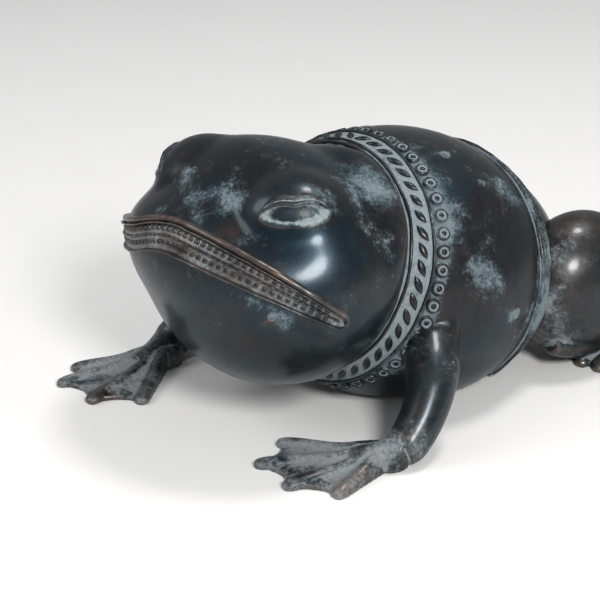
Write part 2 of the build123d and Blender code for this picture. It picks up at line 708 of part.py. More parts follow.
def side_points(side):
    """The leg points of the left or right foreleg."""
    if side > 0:
        return leg_points(side, (LEFT_KNEE_OUT, LEFT_KNEE_BACK), (LEFT_WRIST_OUT, LEFT_WRIST_BACK))
    return leg_points(side, (RIGHT_KNEE_OUT, RIGHT_KNEE_BACK), (RIGHT_WRIST_OUT, RIGHT_WRIST_BACK))


def on_bend(points, share):
    """A point on the bend through shoulder and wrist that the knee pulls, and its heading."""
    start, pull, end = points
    rest = 1 - share
    point = start * rest**2 + pull * (2 * share * rest) + end * share**2
    heading = (pull - start) * rest + (end - pull) * share
    return point, heading


def taper(points, radii):
    """A smooth round bar through points with the given radii, square to its run."""
    rings = []
    for (point, heading), radius in zip(points, radii):
        rings.append(Plane(origin=point, z_dir=heading) * Circle(radius))
    return loft(rings)


def foreleg_tenon_place(side):
    """Middle of a foreleg's tenon inside the leg."""
    point, _ = on_bend(side_points(side), FORELEG_TENON_SHARE)
    return abs(point.X), point.Y + FORELEG_TENON_BACK, point.Z


def foreleg_tenon(side, grow, stick_in):
    """The round tenon of a foreleg, from the leg to inside the body's wall."""
    x, y, z = foreleg_tenon_place(side)
    inner = wall_x(BODY, y, z, -WALL) - stick_in
    return tenon_post(side, y, z, FORELEG_TENON_RADIUS + grow, x, inner)


def toe(wrist, run, length):
    """One toe from the wrist to a rounded tip that rests on the ground."""
    tip = Vector(wrist.X, wrist.Y, TOE_TIP_RADIUS) + run * length
    axis = tip - wrist
    upright = (Align.CENTER, Align.CENTER, Align.MIN)
    bar = Cone(TOE_ROOT_RADIUS, TOE_TIP_RADIUS, axis.length, align=upright)
    return [Plane(origin=wrist, z_dir=axis) * bar, Pos(*tip) * Sphere(TOE_BALL_RADIUS)]


def web(wrist, runs, lengths):
    """The flat web between the toes."""
    outline = [Vector(wrist.X, wrist.Y, 0)]
    for step, (run, length) in enumerate(zip(runs, lengths)):
        outline.append(outline[0] + run * (length * WEB_TOE_SHARE))
        if step + 1 < len(runs):
            between = (run * length + runs[step + 1] * lengths[step + 1]) / 2
            outline.append(outline[0] + between * WEB_NOTCH_SHARE)
    face = make_face(Polyline(*outline, close=True))
    return extrude(face, amount=WEB_THICKNESS, dir=(0, 0, 1))


def wrist_knob(wrist):
    """A domed post at the wrist that stands on the ground."""
    post = Cylinder(WRIST_KNOB_RADIUS, wrist.Z, align=(Align.CENTER, Align.CENTER, Align.MIN))
    dome = Sphere(WRIST_KNOB_RADIUS, arc_size1=0)
    return Pos(wrist.X, wrist.Y, 0) * post + Pos(*wrist) * dome


def foot(wrist, lengths, turns_deg, side):
    """Wrist knob, toes and web of one foot, not yet cut flat on the ground."""
    turns = [radians(turn_deg) for turn_deg in turns_deg]
    runs = [Vector(-side * sin(turn), -cos(turn), 0) for turn in turns]
    whole = wrist_knob(wrist)
    for run, length in zip(runs, lengths):
        for piece in toe(wrist, run, length):
            whole = whole + piece
    return whole + web(wrist, runs, lengths)


def collar_space():
    """The room that the collar takes on the body, with clearance."""
    depth = roundel_row().origin[1] - NECK_CUT.origin[1] - ROUNDEL_RADIUS
    grow = max(ROUNDEL_HEIGHT, COLLAR_STRAP + COLLAR_RAIL_HEIGHT) + LEG_CLEARANCE
    return place(NECK_CUT.trim(BODY.solid(grow), depth - LEG_CLEARANCE, OVERRUN))


def belt_space():
    """The room that the belt takes on the body, with clearance."""
    grow = BELT_STRAP + BELT_RAIL_HEIGHT + LEG_CLEARANCE
    return place(RUMP_CUT.trim(BODY.solid(grow), -LEG_CLEARANCE, BELT_STRAP_WIDTH + LEG_CLEARANCE))


def cotter_post(side, y, z, inner_x, radius, half_length):
    """An upright post through a tenon, just inside a wall."""
    x = inner_x - COTTER_RADIUS - COTTER_CLEARANCE
    return Pos(side * x, y, z) * Cylinder(radius, 2 * half_length)


def foreleg_cotter(side, radius, half_length):
    """Cotter, or its hole, of one foreleg."""
    _, y, z = foreleg_tenon_place(side)
    nearest = min(wall_x(BODY, y, z + step, -WALL) for step in (-half_length, 0, half_length))
    return cotter_post(side, y, z, nearest, radius, half_length)


def make_foreleg(side):
    """One foreleg with its foot and its tenon."""
    points = side_points(side)
    stations = [on_bend(points, share) for share in LEG_STATION_SHARES]
    fall = WRIST_RADIUS - SHOULDER_RADIUS
    leg = taper(stations, [SHOULDER_RADIUS + fall * share for share in LEG_STATION_SHARES])
    lengths, turns = (LEFT_TOE_LENGTHS, LEFT_TOE_TURNS_DEG)
    if side < 0:
        lengths, turns = (RIGHT_TOE_LENGTHS, RIGHT_TOE_TURNS_DEG)
    leg = foot(points[2], lengths, turns, side) + leg - below(0)
    leg = leg - place(BODY.solid(LEG_CLEARANCE)) - collar_space()
    leg = leg + foreleg_tenon(side, 0, TENON_STICK_OUT)
    hole = foreleg_cotter(side, COTTER_RADIUS + COTTER_CLEARANCE, COTTER_HALF_LENGTH)
    return leg - hole


def hind_tenon_place():
    """Length and height of the hind tenons."""
    return HAUNCH_Y, HAUNCH_Z


def hind_tenon(side, grow, stick_in):
    """The round tenon of a hind leg, from the haunch to inside the rump's wall."""
    y, z = hind_tenon_place()
    inner = wall_x(RUMP, y, z, -WALL) - stick_in
    return tenon_post(side, y, z, HIND_TENON_RADIUS + grow, HAUNCH_SIDE, inner)


def hind_cotter(side, radius, half_length):
    """Cotter, or its hole, of one hind leg."""
    y, z = hind_tenon_place()
    nearest = min(wall_x(RUMP, y, z + step, -WALL) for step in (-half_length, 0, half_length))
    return cotter_post(side, y, z, nearest, radius, half_length)


def make_hind_leg(side):
    """One folded hind leg: haunch, foot and tenon. The other is its mirror image."""
    egg = Egg((HAUNCH_HALF_WIDTH, HAUNCH_HALF_HEIGHT, HAUNCH_HALF_LENGTH), (0, 0, 0))
    haunch = Pos(side * HAUNCH_SIDE, HAUNCH_Y, HAUNCH_Z) * (Rot(X=90) * egg.solid())
    ankle_x = side * (HAUNCH_SIDE + HIND_ANKLE_OUT)
    ankle = Vector(ankle_x, HAUNCH_Y + HIND_ANKLE_BACK, WRIST_Z)
    leg = foot(ankle, HIND_TOE_LENGTHS, HIND_TOE_TURNS_DEG, side) + haunch - below(0)
    trunk = place(BODY.solid(LEG_CLEARANCE) - RUMP_CUT.beyond(0, -1))
    leg = leg - trunk - place(RUMP.solid(LEG_CLEARANCE)) - belt_space()
    leg = leg + hind_tenon(side, 0, TENON_STICK_OUT)
    return leg - hind_cotter(side, COTTER_RADIUS + COTTER_CLEARANCE, COTTER_HALF_LENGTH)


def make_plate():
    """The oval plate over the core opening, with its rivet holes."""
    plate = belly_oval(PLATE_CLEARANCE, BELLY_HEIGHT, BELLY_HEIGHT + PLATE_THICKNESS)
    return plate - rivet_posts(RIVET_RADIUS + RIVET_CLEARANCE)


def all_parts():
    """Every node of the frog by name."""
    second, middle = collar_starts()
    eye, rim, lid = make_eye(), make_eye_rim(), make_lid()
    right_hind_leg = make_hind_leg(-1)
    parts = {
        "head_shell": make_head(),
        "body_shell": make_body(),
        "rump_shell": make_rump(),
        "neck_pins": make_pins(NECK_CUT, NECK_BORE, -1),
        "rump_pins": make_pins(RUMP_CUT, RUMP_BORE, 1),
        "core_plugs": make_plugs(),
        "collar_band": strap_ring(NECK_CUT, 0, -COLLAR_STRAP_WIDTH, SEAT_GAP, COLLAR_STRAP),
        "collar_front_rail": collar_rail(0, COLLAR_FRONT_RAIL_WIDTH),
        "collar_second_rail": collar_rail(second, COLLAR_SECOND_RAIL_WIDTH),
        "collar_middle_rail": collar_rail(middle, COLLAR_MIDDLE_RAIL_WIDTH),
        "collar_leaves": make_leaves(),
        "collar_roundels": make_roundels(),
        "belt_band": strap_ring(RUMP_CUT, 0, BELT_STRAP_WIDTH, SEAT_GAP, BELT_STRAP),
        "mouth_band": mouth_piece(mouth_face(MOUTH_HALF_HEIGHT), SEAT_GAP, MOUTH_STRAP),
        "upper_lip": lip(1, UPPER_LIP_HEIGHT),
        "lower_lip": lip(-1, LOWER_LIP_HEIGHT),
        "mouth_middle_rail": mouth_rail(),
        "upper_tooth_row": tooth_row(1),
        "lower_tooth_row": tooth_row(-1),
        "left_eye": eye,
        "right_eye": mirrored(eye),
        "left_eye_rim": rim,
        "right_eye_rim": mirrored(rim),
        "left_upper_lid": lid,
        "right_upper_lid": mirrored(lid),
        "left_foreleg": make_foreleg(1),
        "right_foreleg": make_foreleg(-1),
        "left_hind_leg": mirrored(right_hind_leg),
        "right_hind_leg": right_hind_leg,
        "foreleg_cotters": Compound(
            [foreleg_cotter(side, COTTER_RADIUS, COTTER_HALF_LENGTH) for side in (1, -1)]
        ),
        "hind_leg_cotters": Compound(
            [hind_cotter(side, COTTER_RADIUS, COTTER_HALF_LENGTH) for side in (1, -1)]
        ),
        "belly_plate": make_plate(),
        "belly_rivets": Compound(rivet_posts(RIVET_RADIUS)),
    }
    for number, start in enumerate(belt_starts(), start=1):
        parts[f"belt_rail_{number}"] = belt_rail(start)
    return parts


os.makedirs("parts", exist_ok=True)
for name, shape in all_parts().items():
    export_step(shape, f"parts/{name}.step")
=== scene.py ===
import logging
from dataclasses import dataclass
from enum import Enum
from math import cos, pi, radians, sin

import bmesh
import bpy
import numpy as np
from mathutils import Matrix, Vector


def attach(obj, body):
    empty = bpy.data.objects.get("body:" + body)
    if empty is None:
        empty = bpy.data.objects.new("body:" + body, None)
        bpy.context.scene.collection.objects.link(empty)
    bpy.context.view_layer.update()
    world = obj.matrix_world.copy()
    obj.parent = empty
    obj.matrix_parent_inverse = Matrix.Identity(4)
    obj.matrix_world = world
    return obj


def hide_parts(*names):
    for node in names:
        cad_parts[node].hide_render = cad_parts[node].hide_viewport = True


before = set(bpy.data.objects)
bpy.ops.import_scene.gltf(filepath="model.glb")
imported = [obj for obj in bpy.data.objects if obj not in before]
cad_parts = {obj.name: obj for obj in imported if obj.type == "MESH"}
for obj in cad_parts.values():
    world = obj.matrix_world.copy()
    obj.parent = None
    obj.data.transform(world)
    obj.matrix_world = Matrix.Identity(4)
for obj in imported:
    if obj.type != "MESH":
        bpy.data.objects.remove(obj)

Array = np.ndarray
Faces = list[tuple[int, ...]]
Skin = tuple[Array, Faces]
SpotRows = tuple[tuple[float, float, float, float, float], ...]
Colour = tuple[float, float, float]
Point = tuple[float, float, float]
Span = tuple[float, float]
log = logging.getLogger("frog")

MM = 0.001
BODY_NAME = "root"

# The trunk frame: across, up and ahead from a point on the neck, in millimetres.
NECK = np.array((0.0, -28.0, 66.0))
PITCH = radians(13.0)
TRUNK_AXES = np.array(((1.0, 0.0, 0.0), (0.0, sin(PITCH), cos(PITCH)), (0.0, -cos(PITCH), sin(PITCH))))
BELLY_HEIGHT = 3.0

# Slow waves that keep hand-shaped surfaces from being perfect: direction and phase.
WAVES = (
    (0.071, 0.033, 0.052, 0.4), (-0.047, 0.081, 0.036, 1.9), (0.029, -0.058, 0.094, 3.1),
    (0.112, 0.064, -0.041, 4.4), (-0.085, -0.097, 0.073, 5.2), (0.021, 0.124, 0.109, 0.9),
)


def to_world(points: Array) -> Array:
    """Trunk coordinates as world coordinates, in millimetres."""
    return NECK + points @ TRUNK_AXES


def to_trunk(points: Array) -> Array:
    """World coordinates as trunk coordinates, in millimetres."""
    return (points - NECK) @ TRUNK_AXES.T


def unit(vectors: Array) -> Array:
    """Vectors scaled to a length of one."""
    return vectors / np.maximum(np.linalg.norm(vectors, axis=-1, keepdims=True), 1e-9)


def full_turn(count: int) -> Array:
    """Even angles round a circle, in radians."""
    return np.linspace(0.0, 2.0 * pi, count, endpoint=False)


def smooth_step(values: Array, low: float, high: float) -> Array:
    """A soft rise from nought at low to one at high."""
    share = np.clip((values - low) / (high - low), 0.0, 1.0)
    return share * share * (3.0 - 2.0 * share)


def bell(values: Array, reach: float) -> Array:
    """A soft hump: one at nought, falling off over the reach."""
    return np.exp(-((values / reach) ** 2))


def circle(count: int) -> Array:
    """Even points round a circle of radius one, in its own plane."""
    turn = full_turn(count)
    return np.column_stack((np.cos(turn), np.sin(turn)))


def flip_to(side: float) -> Array:
    """Factors that take a place on the left to the given side."""
    return np.array((side, 1.0, 1.0))


def bow(start: Array, pull: Array, end: Array, share: Array) -> Array:
    """Points on a bent line that sets out towards a pull point and stops at its end."""
    return start * (1.0 - share) ** 2 + pull * 2.0 * share * (1.0 - share) + end * share**2


def wobble(points: Array, size: float) -> Array:
    """Slow unevenness of a hand-shaped surface.

    Args:
        points: places on the surface, in millimetres.
        size: greatest height of the waves, in millimetres.

    Returns:
        The height to add at each place.
    """
    total = sum(np.sin(points @ np.array(wave[:3]) + wave[3]) for wave in WAVES)
    return size * total / len(WAVES)


@dataclass(frozen=True)
class Egg:
    """An ellipsoid in the trunk frame, with half sizes across, up and ahead."""

    half: Point
    centre: Point

    def normals(self, points: Array) -> Array:
        """Unit normals at points on the egg."""
        return unit((points - np.array(self.centre)) / np.array(self.half) ** 2)

    def section(self, rise: Array, ahead: Array, lean: float) -> tuple[Array, Array, Array]:
        """The oval that a leaning plane cuts out of the egg.

        Args:
            rise: height of the plane's origin.
            ahead: place of the plane's origin along the trunk.
            lean: the plane's lean, in radians.

        Returns:
            Centre height within the plane, half width and half height.
        """
        across, up, along = self.half
        over, past = rise - self.centre[1], ahead - self.centre[2]
        square = (np.cos(lean) / up) ** 2 + (np.sin(lean) / along) ** 2
        cross = 2.0 * (over * np.cos(lean) / up**2 - past * np.sin(lean) / along**2)
        rest = (over / up) ** 2 + (past / along) ** 2
        left_over = np.maximum(1.0 - rest + cross**2 / (4.0 * square), 0.0)
        return -cross / (2.0 * square), across * np.sqrt(left_over), np.sqrt(left_over / square)

    def ring(self, rise: Array, ahead: Array, lean: Array, angle: Array) -> tuple[Array, Array]:
        """Points where leaning planes cut the egg.

        Args:
            rise: height of each plane's origin.
            ahead: place of each plane's origin along the trunk.
            lean: each plane's lean, in radians.
            angle: angle round the oval, from the left side upwards.

        Returns:
            The points and their unit normals.
        """
        middle, width, height = self.section(rise, ahead, lean)
        level = middle + height * np.sin(angle)
        across, up, along = width * np.cos(angle), rise + level * np.cos(lean), ahead - level * np.sin(lean)
        points = np.stack(np.broadcast_arrays(across, up, along), -1)
        return points, self.normals(points)

    def reach(self, start: Array, rays: Array) -> Array:
        """How far unit rays from a start run until they leave the egg, or pass nearest to it."""
        half = np.array(self.half)
        offset, run = (start - np.array(self.centre)) / half, rays / half
        square, cross = np.sum(run * run, -1), run @ offset
        inside = np.maximum(cross**2 - square * (offset @ offset - 1.0), 0.0)
        return (np.sqrt(inside) - cross) / square

    def depth(self, points: Array) -> Array:
        """Roughly how far points lie outside the egg, in millimetres."""
        scaled = (points - np.array(self.centre)) / np.array(self.half)
        size = np.linalg.norm(scaled, axis=-1)
        slope = np.linalg.norm(scaled / np.array(self.half), axis=-1)
        return (size - 1.0) * size / np.maximum(slope, 1e-9)


HEAD_EGG = Egg((68.0, 54.0, 55.0), (0.0, -1.0, 35.0))
BODY_EGG = Egg((71.0, 64.5, 76.0), (0.0, -4.5, -46.0))
RUMP_EGG = Egg((56.0, 51.0, 46.0), (0.0, -6.0, -88.0))


@dataclass(frozen=True)
class Cut:
    """A plane across the trunk: height and place of its origin, and its lean."""

    rise: float
    ahead: float
    lean: float

    def moved(self, shift: Array) -> tuple[Array, Array]:
        """Origins of the same plane moved along its normal."""
        return self.rise + shift * np.sin(self.lean), self.ahead + shift * np.cos(self.lean)

    def shift_of(self, points: Array) -> Array:
        """How far trunk points lie ahead of the plane."""
        rise, ahead = points[..., 1] - self.rise, points[..., 2] - self.ahead
        return rise * np.sin(self.lean) + ahead * np.cos(self.lean)


NECK_CUT = Cut(0.0, 3.0, radians(9.0))
RUMP_CUT = Cut(0.0, -90.0, 0.0)
MOUTH_CUT = Cut(-9.4, 40.0, radians(23.0 - 90.0))
SNOUT_CUT = Cut(-9.4, 40.0, radians(17.0 - 90.0))


class Sock:
    """A shader socket with arithmetic, for values that a Math node can work on."""

    def __init__(self, shader: "Shader", socket: bpy.types.NodeSocket) -> None:
        """Keep the socket and the shader that it belongs to."""
        self.shader = shader
        self.socket = socket

    def _math(self, operation: str, first: "Sock | float", second: "Sock | float") -> "Sock":
        """Add one Math node on two values."""
        return self.shader.node("ShaderNodeMath", {"operation": operation}, {0: first, 1: second})

    def __add__(self, other: "Sock | float") -> "Sock":
        """Sum of two values."""
        return self._math("ADD", self, other)

    __radd__ = __add__

    def __mul__(self, other: "Sock | float") -> "Sock":
        """Product of two values."""
        return self._math("MULTIPLY", self, other)

    __rmul__ = __mul__

    def __sub__(self, other: "Sock | float") -> "Sock":
        """This value less another."""
        return self._math("SUBTRACT", self, other)

    def __rsub__(self, other: "Sock | float") -> "Sock":
        """Another value less this one."""
        return self._math("SUBTRACT", other, self)

    def step(self, low: float, high: float) -> "Sock":
        """A soft rise from nought at low to one at high."""
        settings = {"interpolation_type": "SMOOTHSTEP", "clamp": True}
        sockets = {"Value": self, "From Min": low, "From Max": high}
        return self.shader.node("ShaderNodeMapRange", settings, sockets)


class Shader:
    """A material's node tree, built node by node."""

    def __init__(self, name: str) -> None:
        """Start a new material with an empty tree."""
        self.material = bpy.data.materials.new(name)
        self.material.use_nodes = True
        self.tree = self.material.node_tree
        self.tree.nodes.clear()

    def node(
        self, kind: str, settings: dict[str, object], sockets: dict[object, object], output: int | str = 0
    ) -> Sock:
        """Add a node.

        Args:
            kind: the node's type.
            settings: properties, set before the sockets.
            sockets: values or links by input name or number.
            output: which output to give back.

        Returns:
            The chosen output.
        """
        added = self.tree.nodes.new(kind)
        for key, value in settings.items():
            setattr(added, key, value)
        for key, value in sockets.items():
            if isinstance(value, Sock):
                self.tree.links.new(value.socket, added.inputs[key])
            else:
                added.inputs[key].default_value = value
        return Sock(self, added.outputs[output]) if added.outputs else Sock(self, None)

    def attribute(self, name: str) -> Sock:
        """A value stored on the mesh."""
        return self.node("ShaderNodeAttribute", {"attribute_name": name}, {}, "Fac")

    def noise(self, scale: float, detail: float, rough: float, shift: float) -> Sock:
        """Cloudy noise in the object's own coordinates.

        Args:
            scale: clouds to a metre.
            detail: number of finer layers.
            rough: weight of the finer layers.
            shift: moves the pattern, so that two of one scale differ.

        Returns:
            A value about one half.
        """
        place = self.node("ShaderNodeTexCoord", {}, {}, "Object")
        moved = self.node("ShaderNodeVectorMath", {"operation": "ADD"}, {0: place, 1: (shift, shift, shift)})
        sockets = {"Vector": moved, "Scale": scale, "Detail": detail, "Roughness": rough}
        return self.node("ShaderNodeTexNoise", {}, sockets)

    def mix(self, share: Sock | float, first: "Sock | Colour", second: "Sock | Colour") -> Sock:
        """Mix two colours."""
        colours = [value if isinstance(value, Sock) else (*value, 1.0) for value in (first, second)]
        sockets = {0: share, 6: colours[0], 7: colours[1]}
        return self.node("ShaderNodeMix", {"data_type": "RGBA"}, sockets, 2)


@dataclass(frozen=True)
class Patina:
    """A waxed bronze finish with verdigris in its hollows."""

    name: str
    slot: str
    dark: Colour = (0.010, 0.011, 0.013)
    tint: Colour = (0.006, 0.018, 0.026)
    brown: Colour = (0.025, 0.019, 0.018)
    # Colour of raised edges: rubbed bronze, and on the mouth also a lighter painted highlight along the lips
    # and rails.
    worn_and_sheen: Colour = (0.130, 0.120, 0.115)
    copper: Colour = (0.150, 0.066, 0.038)
    pale: Colour = (0.165, 0.196, 0.208)
    teal: Colour = (0.030, 0.078, 0.100)
    brown_share: float = 0.45
    hollow_share: float = 1.0
    haze: float = 0.34
    speckle: float = 0.40
    wear_and_sheen: float = 0.6
    rough: float = 0.26
    coat: float = 0.28

    def material(self) -> bpy.types.Material:
        """Build the node material.

        Returns:
            The finished material.
        """
        made = Shader(self.name)
        big, mid = made.noise(24.0, 4.0, 0.60, 0.0), made.noise(120.0, 9.0, 0.72, 0.7)
        drift, fine = made.noise(52.0, 7.0, 0.64, 1.9), made.noise(650.0, 6.0, 0.7, 2.3)
        cloud = made.noise(34.0, 6.0, 0.62, 4.1)
        hollow, bloom_and_highlight = made.attribute("hollow"), made.attribute("bloom_and_highlight")
        edge, rub = made.attribute("edge"), made.attribute("rub")
        metal = made.mix(big.step(0.38, 0.60), self.dark, self.tint)
        metal = made.mix(drift.step(0.46, 0.66) * self.brown_share, metal, self.brown)
        # Raised edges take the edge colour: real wear, and on the mouth also a painted highlight.
        metal = made.mix(edge * self.wear_and_sheen * mid.step(0.25, 0.60), metal, self.worn_and_sheen)
        metal = made.mix(rub * mid.step(0.30, 0.58), metal, self.copper)
        grain = (mid - 0.5) * 1.5 + (fine - 0.5) * 1.0 + (drift - 0.5) * 1.5
        haze = cloud.step(0.47, 0.66) * self.haze
        crust = (hollow * self.hollow_share + bloom_and_highlight + haze + grain).step(0.16, 1.10)
        flecks = (mid + fine * 0.6).step(0.88, 1.08) * drift.step(0.42, 0.62) * self.speckle
        cover = ((crust + flecks) * 0.9 - rub * 0.4).step(0.0, 1.0)
        salts = made.mix(fine.step(0.38, 0.66) * 0.35 + crust * 0.65, self.teal, self.pale)
        colour = made.mix(cover, metal, salts)
        relief = fine * 0.30 + mid * 0.45 + crust * 0.55
        bump = made.node("ShaderNodeBump", {}, {"Strength": 0.35, "Distance": 0.0005, "Height": relief})
        surface = made.node("ShaderNodeBsdfPrincipled", {}, {
            "Base Color": colour,
            "Roughness": self.rough + mid * 0.16 + cover * 0.42 - edge * 0.05,
            "Metallic": 0.62 - cover * 0.62,
            "Coat Weight": self.coat - cover * self.coat,
            "Coat Roughness": 0.16,
            "Specular IOR Level": 0.35,
            "Specular Tint": (0.55, 0.58, 0.60, 1.0),
            "Normal": bump,
        })
        made.node("ShaderNodeOutputMaterial", {}, {"Surface": surface})
        return made.material


class Finish(Enum):
    """The finishes of the frog, one for each slot of the record."""

    SHELL = Patina("waxed_shell", "shell_bronze")
    LEG = Patina(
        "handled_leg", "leg_bronze", dark=(0.019, 0.020, 0.022), brown=(0.052, 0.040, 0.034),
        worn_and_sheen=(0.160, 0.135, 0.115), pale=(0.225, 0.228, 0.232), wear_and_sheen=0.8, speckle=0.6,
    )
    COLLAR = Patina(
        "crusted_collar", "collar_bronze", pale=(0.235, 0.265, 0.275), hollow_share=1.25, wear_and_sheen=0.5, coat=0.2
    )
    BELT = Patina("crusted_belt", "belt_bronze", hollow_share=1.25, wear_and_sheen=0.5, coat=0.2)
    # The mouth's light edge colour is partly wear and partly a painted highlight that brightens its lips and
    # rails.
    MOUTH = Patina(
        "rubbed_mouth_with_painted_sheen", "mouth_bronze", brown=(0.060, 0.043, 0.035), worn_and_sheen=(0.230, 0.195, 0.175),
        pale=(0.270, 0.280, 0.275), brown_share=0.9, wear_and_sheen=0.8,
    )
    EYE = Patina("waxed_eye", "eye_bronze", pale=(0.270, 0.300, 0.305), rough=0.36, coat=0.08)
    PLAIN = Patina("plain_cast", "plain_bronze", dark=(0.060, 0.045, 0.028), brown=(0.120, 0.085, 0.045))


@dataclass(frozen=True)
class Spot:
    """A patch of colour on the surface: its middle in world millimetres, its reach and its strength."""

    middle: Point
    reach: float
    strength: float

    def at(self, points: Array) -> Array:
        """Strength of the patch at points."""
        gap = np.sum((points - np.array(self.middle)) ** 2, -1) / self.reach**2
        return self.strength * np.exp(-gap)


def world_spots(rows: SpotRows) -> list[Spot]:
    """Patches from rows of x, y, z, reach and strength."""
    return [Spot((x, y, z), reach, strength) for x, y, z, reach, strength in rows]


def trunk_spots(rows: SpotRows, other_side: float) -> list[Spot]:
    """Patches given in the trunk frame, with weaker ones on the other side.

    Args:
        rows: across, up, ahead, reach and strength of each patch.
        other_side: share of the strength that the mirrored patch keeps.

    Returns:
        All the patches.
    """
    spots = []
    for across, up, ahead, reach, strength in rows:
        for side, share in ((1.0, 1.0), (-1.0, other_side)):
            middle = to_world(np.array((side * across, up, ahead)))
            spots.append(Spot(tuple(middle), reach, strength * share))
    return spots


# Pale patina patches over the surface; two of the world rows below, on the haunches, are a painted highlight.
BLOOM_AND_HIGHLIGHT_SPOTS = trunk_spots(
    (
        (39.0, 48.0, 22.0, 12.0, 0.50), (28.0, 52.0, 22.0, 9.0, 0.42), (41.0, 45.0, 13.0, 10.0, 0.48),
        (44.0, 39.0, 9.0, 8.0, 0.45), (50.0, 41.0, 24.0, 9.0, 0.45), (58.0, 27.0, 16.0, 9.0, 0.36),
        (64.0, 16.0, 23.0, 7.0, 0.30), (67.3, 0.3, 42.8, 5.0, 0.28), (15.2, 31.5, 71.5, 6.5, 0.55),
        (2.7, 26.5, 77.0, 6.0, 0.45), (21.6, 31.5, 70.0, 6.0, 0.40), (11.7, 20.0, 80.5, 6.0, 0.50),
        (6.9, 34.0, 71.0, 5.0, 0.45), (54.6, -10.4, 66.3, 9.0, 0.62), (47.2, -3.0, 74.5, 5.0, 0.42),
        (58.3, -8.1, 62.4, 6.0, 0.42), (51.4, 36.5, 44.7, 4.5, 0.50), (38.4, 32.2, 72.4, 4.0, 0.35),
        (48.8, 38.5, -23.9, 9.0, 0.48), (54.9, 32.4, -25.1, 9.0, 0.48), (40.0, 45.7, -25.3, 8.0, 0.32),
        (68.6, 8.5, -33.6, 10.0, 0.55), (66.2, 14.3, -29.9, 7.0, 0.38), (69.0, 10.0, -45.3, 7.0, 0.38),
        (44.6, 43.5, -63.2, 9.0, 0.44), (41.0, 47.0, -57.0, 7.0, 0.32), (49.0, 36.7, -71.9, 9.0, 0.40),
        (22.0, 55.0, -28.0, 12.0, 0.25), (24.0, 56.0, -51.0, 12.0, 0.25), (56.0, -26.5, -8.0, 9.0, 0.50),
        (52.0, -36.5, -11.0, 9.0, 0.50), (27.0, 55.0, -40.0, 3.0, 0.75), (70.0, -9.0, -56.0, 3.4, 0.90),
        (62.0, -8.0, -84.0, 10.0, 0.40),
    ),
    0.85,
) + world_spots(
    (
        # The pale patch at (62, 66, 59) on the top of the near haunch and its mirror at (-62, 66, 55) are a
        # painted highlight; the other patches are patina.
        (63.0, 62.0, 23.0, 10.0, 0.72), (63.0, 58.5, 40.0, 8.0, 0.50), (62.0, 66.0, 59.0, 9.0, 0.34),
        (-63.0, 62.0, 23.0, 10.0, 0.60), (-62.0, 66.0, 55.0, 9.0, 0.40), (-78.0, -73.0, 12.0, 10.0, 0.55),
        (58.0, -76.0, 4.0, 15.0, 0.36), (74.0, -82.0, 3.0, 9.0, 0.30), (78.0, -52.0, 10.0, 9.0, 0.22),
        (-74.0, -106.0, 4.0, 16.0, 0.34),
    )
)
RUB_SPOTS = trunk_spots(((29.0, 22.0, 79.0, 5.0, 0.45), (52.0, -11.5, 68.5, 2.2, 0.9)), 0.3) + world_spots(
    (
        (84.5, -86.0, 5.0, 7.0, 0.85), (82.5, -74.0, 6.0, 6.0, 0.55), (62.0, -92.0, 4.0, 6.0, 0.35),
        (-56.0, -112.0, 4.0, 7.0, 0.30),
    )
)


def skin(rings: Array, loop: bool = False) -> Skin:
    """Join rings of points into a closed skin.

    Args:
        rings: points of each ring, all with the same count.
        loop: joins the last ring to the first; otherwise both ends get a cap.

    Returns:
        The points and the faces.
    """
    count, size = rings.shape[:2]
    points = rings.reshape(-1, 3)
    index = np.arange(count * size).reshape(count, size)
    around = np.roll(index, -1, axis=1)
    if loop:
        pairs = (index, around, np.roll(around, -1, axis=0), np.roll(index, -1, axis=0))
    else:
        pairs = (index[:-1], around[:-1], around[1:], index[1:])
    faces = np.stack([part.reshape(-1) for part in pairs], -1).tolist()
    if not loop:
        points = np.concatenate((points, rings[0].mean(0)[None], rings[-1].mean(0)[None]))
        first, last = count * size, count * size + 1
        faces += [(first, int(b), int(a)) for a, b in zip(index[0], around[0])]
        faces += [(last, int(a), int(b)) for a, b in zip(index[-1], around[-1])]
    return points, faces


def gather(skins: list[Skin]) -> Skin:
    """Put several skins into one list of points and faces."""
    points, faces, base = [], [], 0
    for some_points, some_faces in skins:
        points.append(some_points)
        faces += [tuple(base + int(i) for i in face) for face in some_faces]
        base += len(some_points)
    return np.concatenate(points), faces


def add(name: str, data: bpy.types.ID) -> bpy.types.Object:
    """Put a new object into the scene."""
    made = bpy.data.objects.new(name, data)
    bpy.context.scene.collection.objects.link(made)
    return made


def closed_mesh(name: str, shape: Skin) -> bpy.types.Mesh:
    """Make a mesh from a skin.

    Args:
        name: name of the mesh.
        shape: points in world millimetres, and faces.

    Returns:
        The mesh, in metres, with its faces turned outwards.
    """
    mesh = bpy.data.meshes.new(name)
    mesh.from_pydata((shape[0] * MM).tolist(), [], shape[1])
    solid = bmesh.new()
    solid.from_mesh(mesh)
    bmesh.ops.recalc_face_normals(solid, faces=solid.faces)
    solid.to_mesh(mesh)
    solid.free()
    return mesh


def hollows(mesh: bpy.types.Mesh, rounds: int) -> Array:
    """How far each vertex lies below its surroundings.

    Args:
        mesh: the mesh, in metres.
        rounds: how many neighbours far the surroundings reach.

    Returns:
        Depth in millimetres, negative on raised places.
    """
    count = len(mesh.vertices)
    place, normal = np.empty(count * 3), np.empty(count * 3)
    mesh.vertices.foreach_get("co", place)
    mesh.vertices.foreach_get("normal", normal)
    ends = np.empty(len(mesh.edges) * 2, dtype=np.int64)
    mesh.edges.foreach_get("vertices", ends)
    place, normal, ends = place.reshape(-1, 3), normal.reshape(-1, 3), ends.reshape(-1, 2)
    degree = np.bincount(ends.ravel(), minlength=count).clip(1)
    level = place.copy()
    for _ in range(rounds):
        sums = [
            np.bincount(ends[:, 0], level[ends[:, 1], axis], count)
            + np.bincount(ends[:, 1], level[ends[:, 0], axis], count)
            for axis in range(3)
        ]
        level = np.stack(sums, -1) / degree[:, None]
    return np.sum((level - place) * normal, -1) / MM


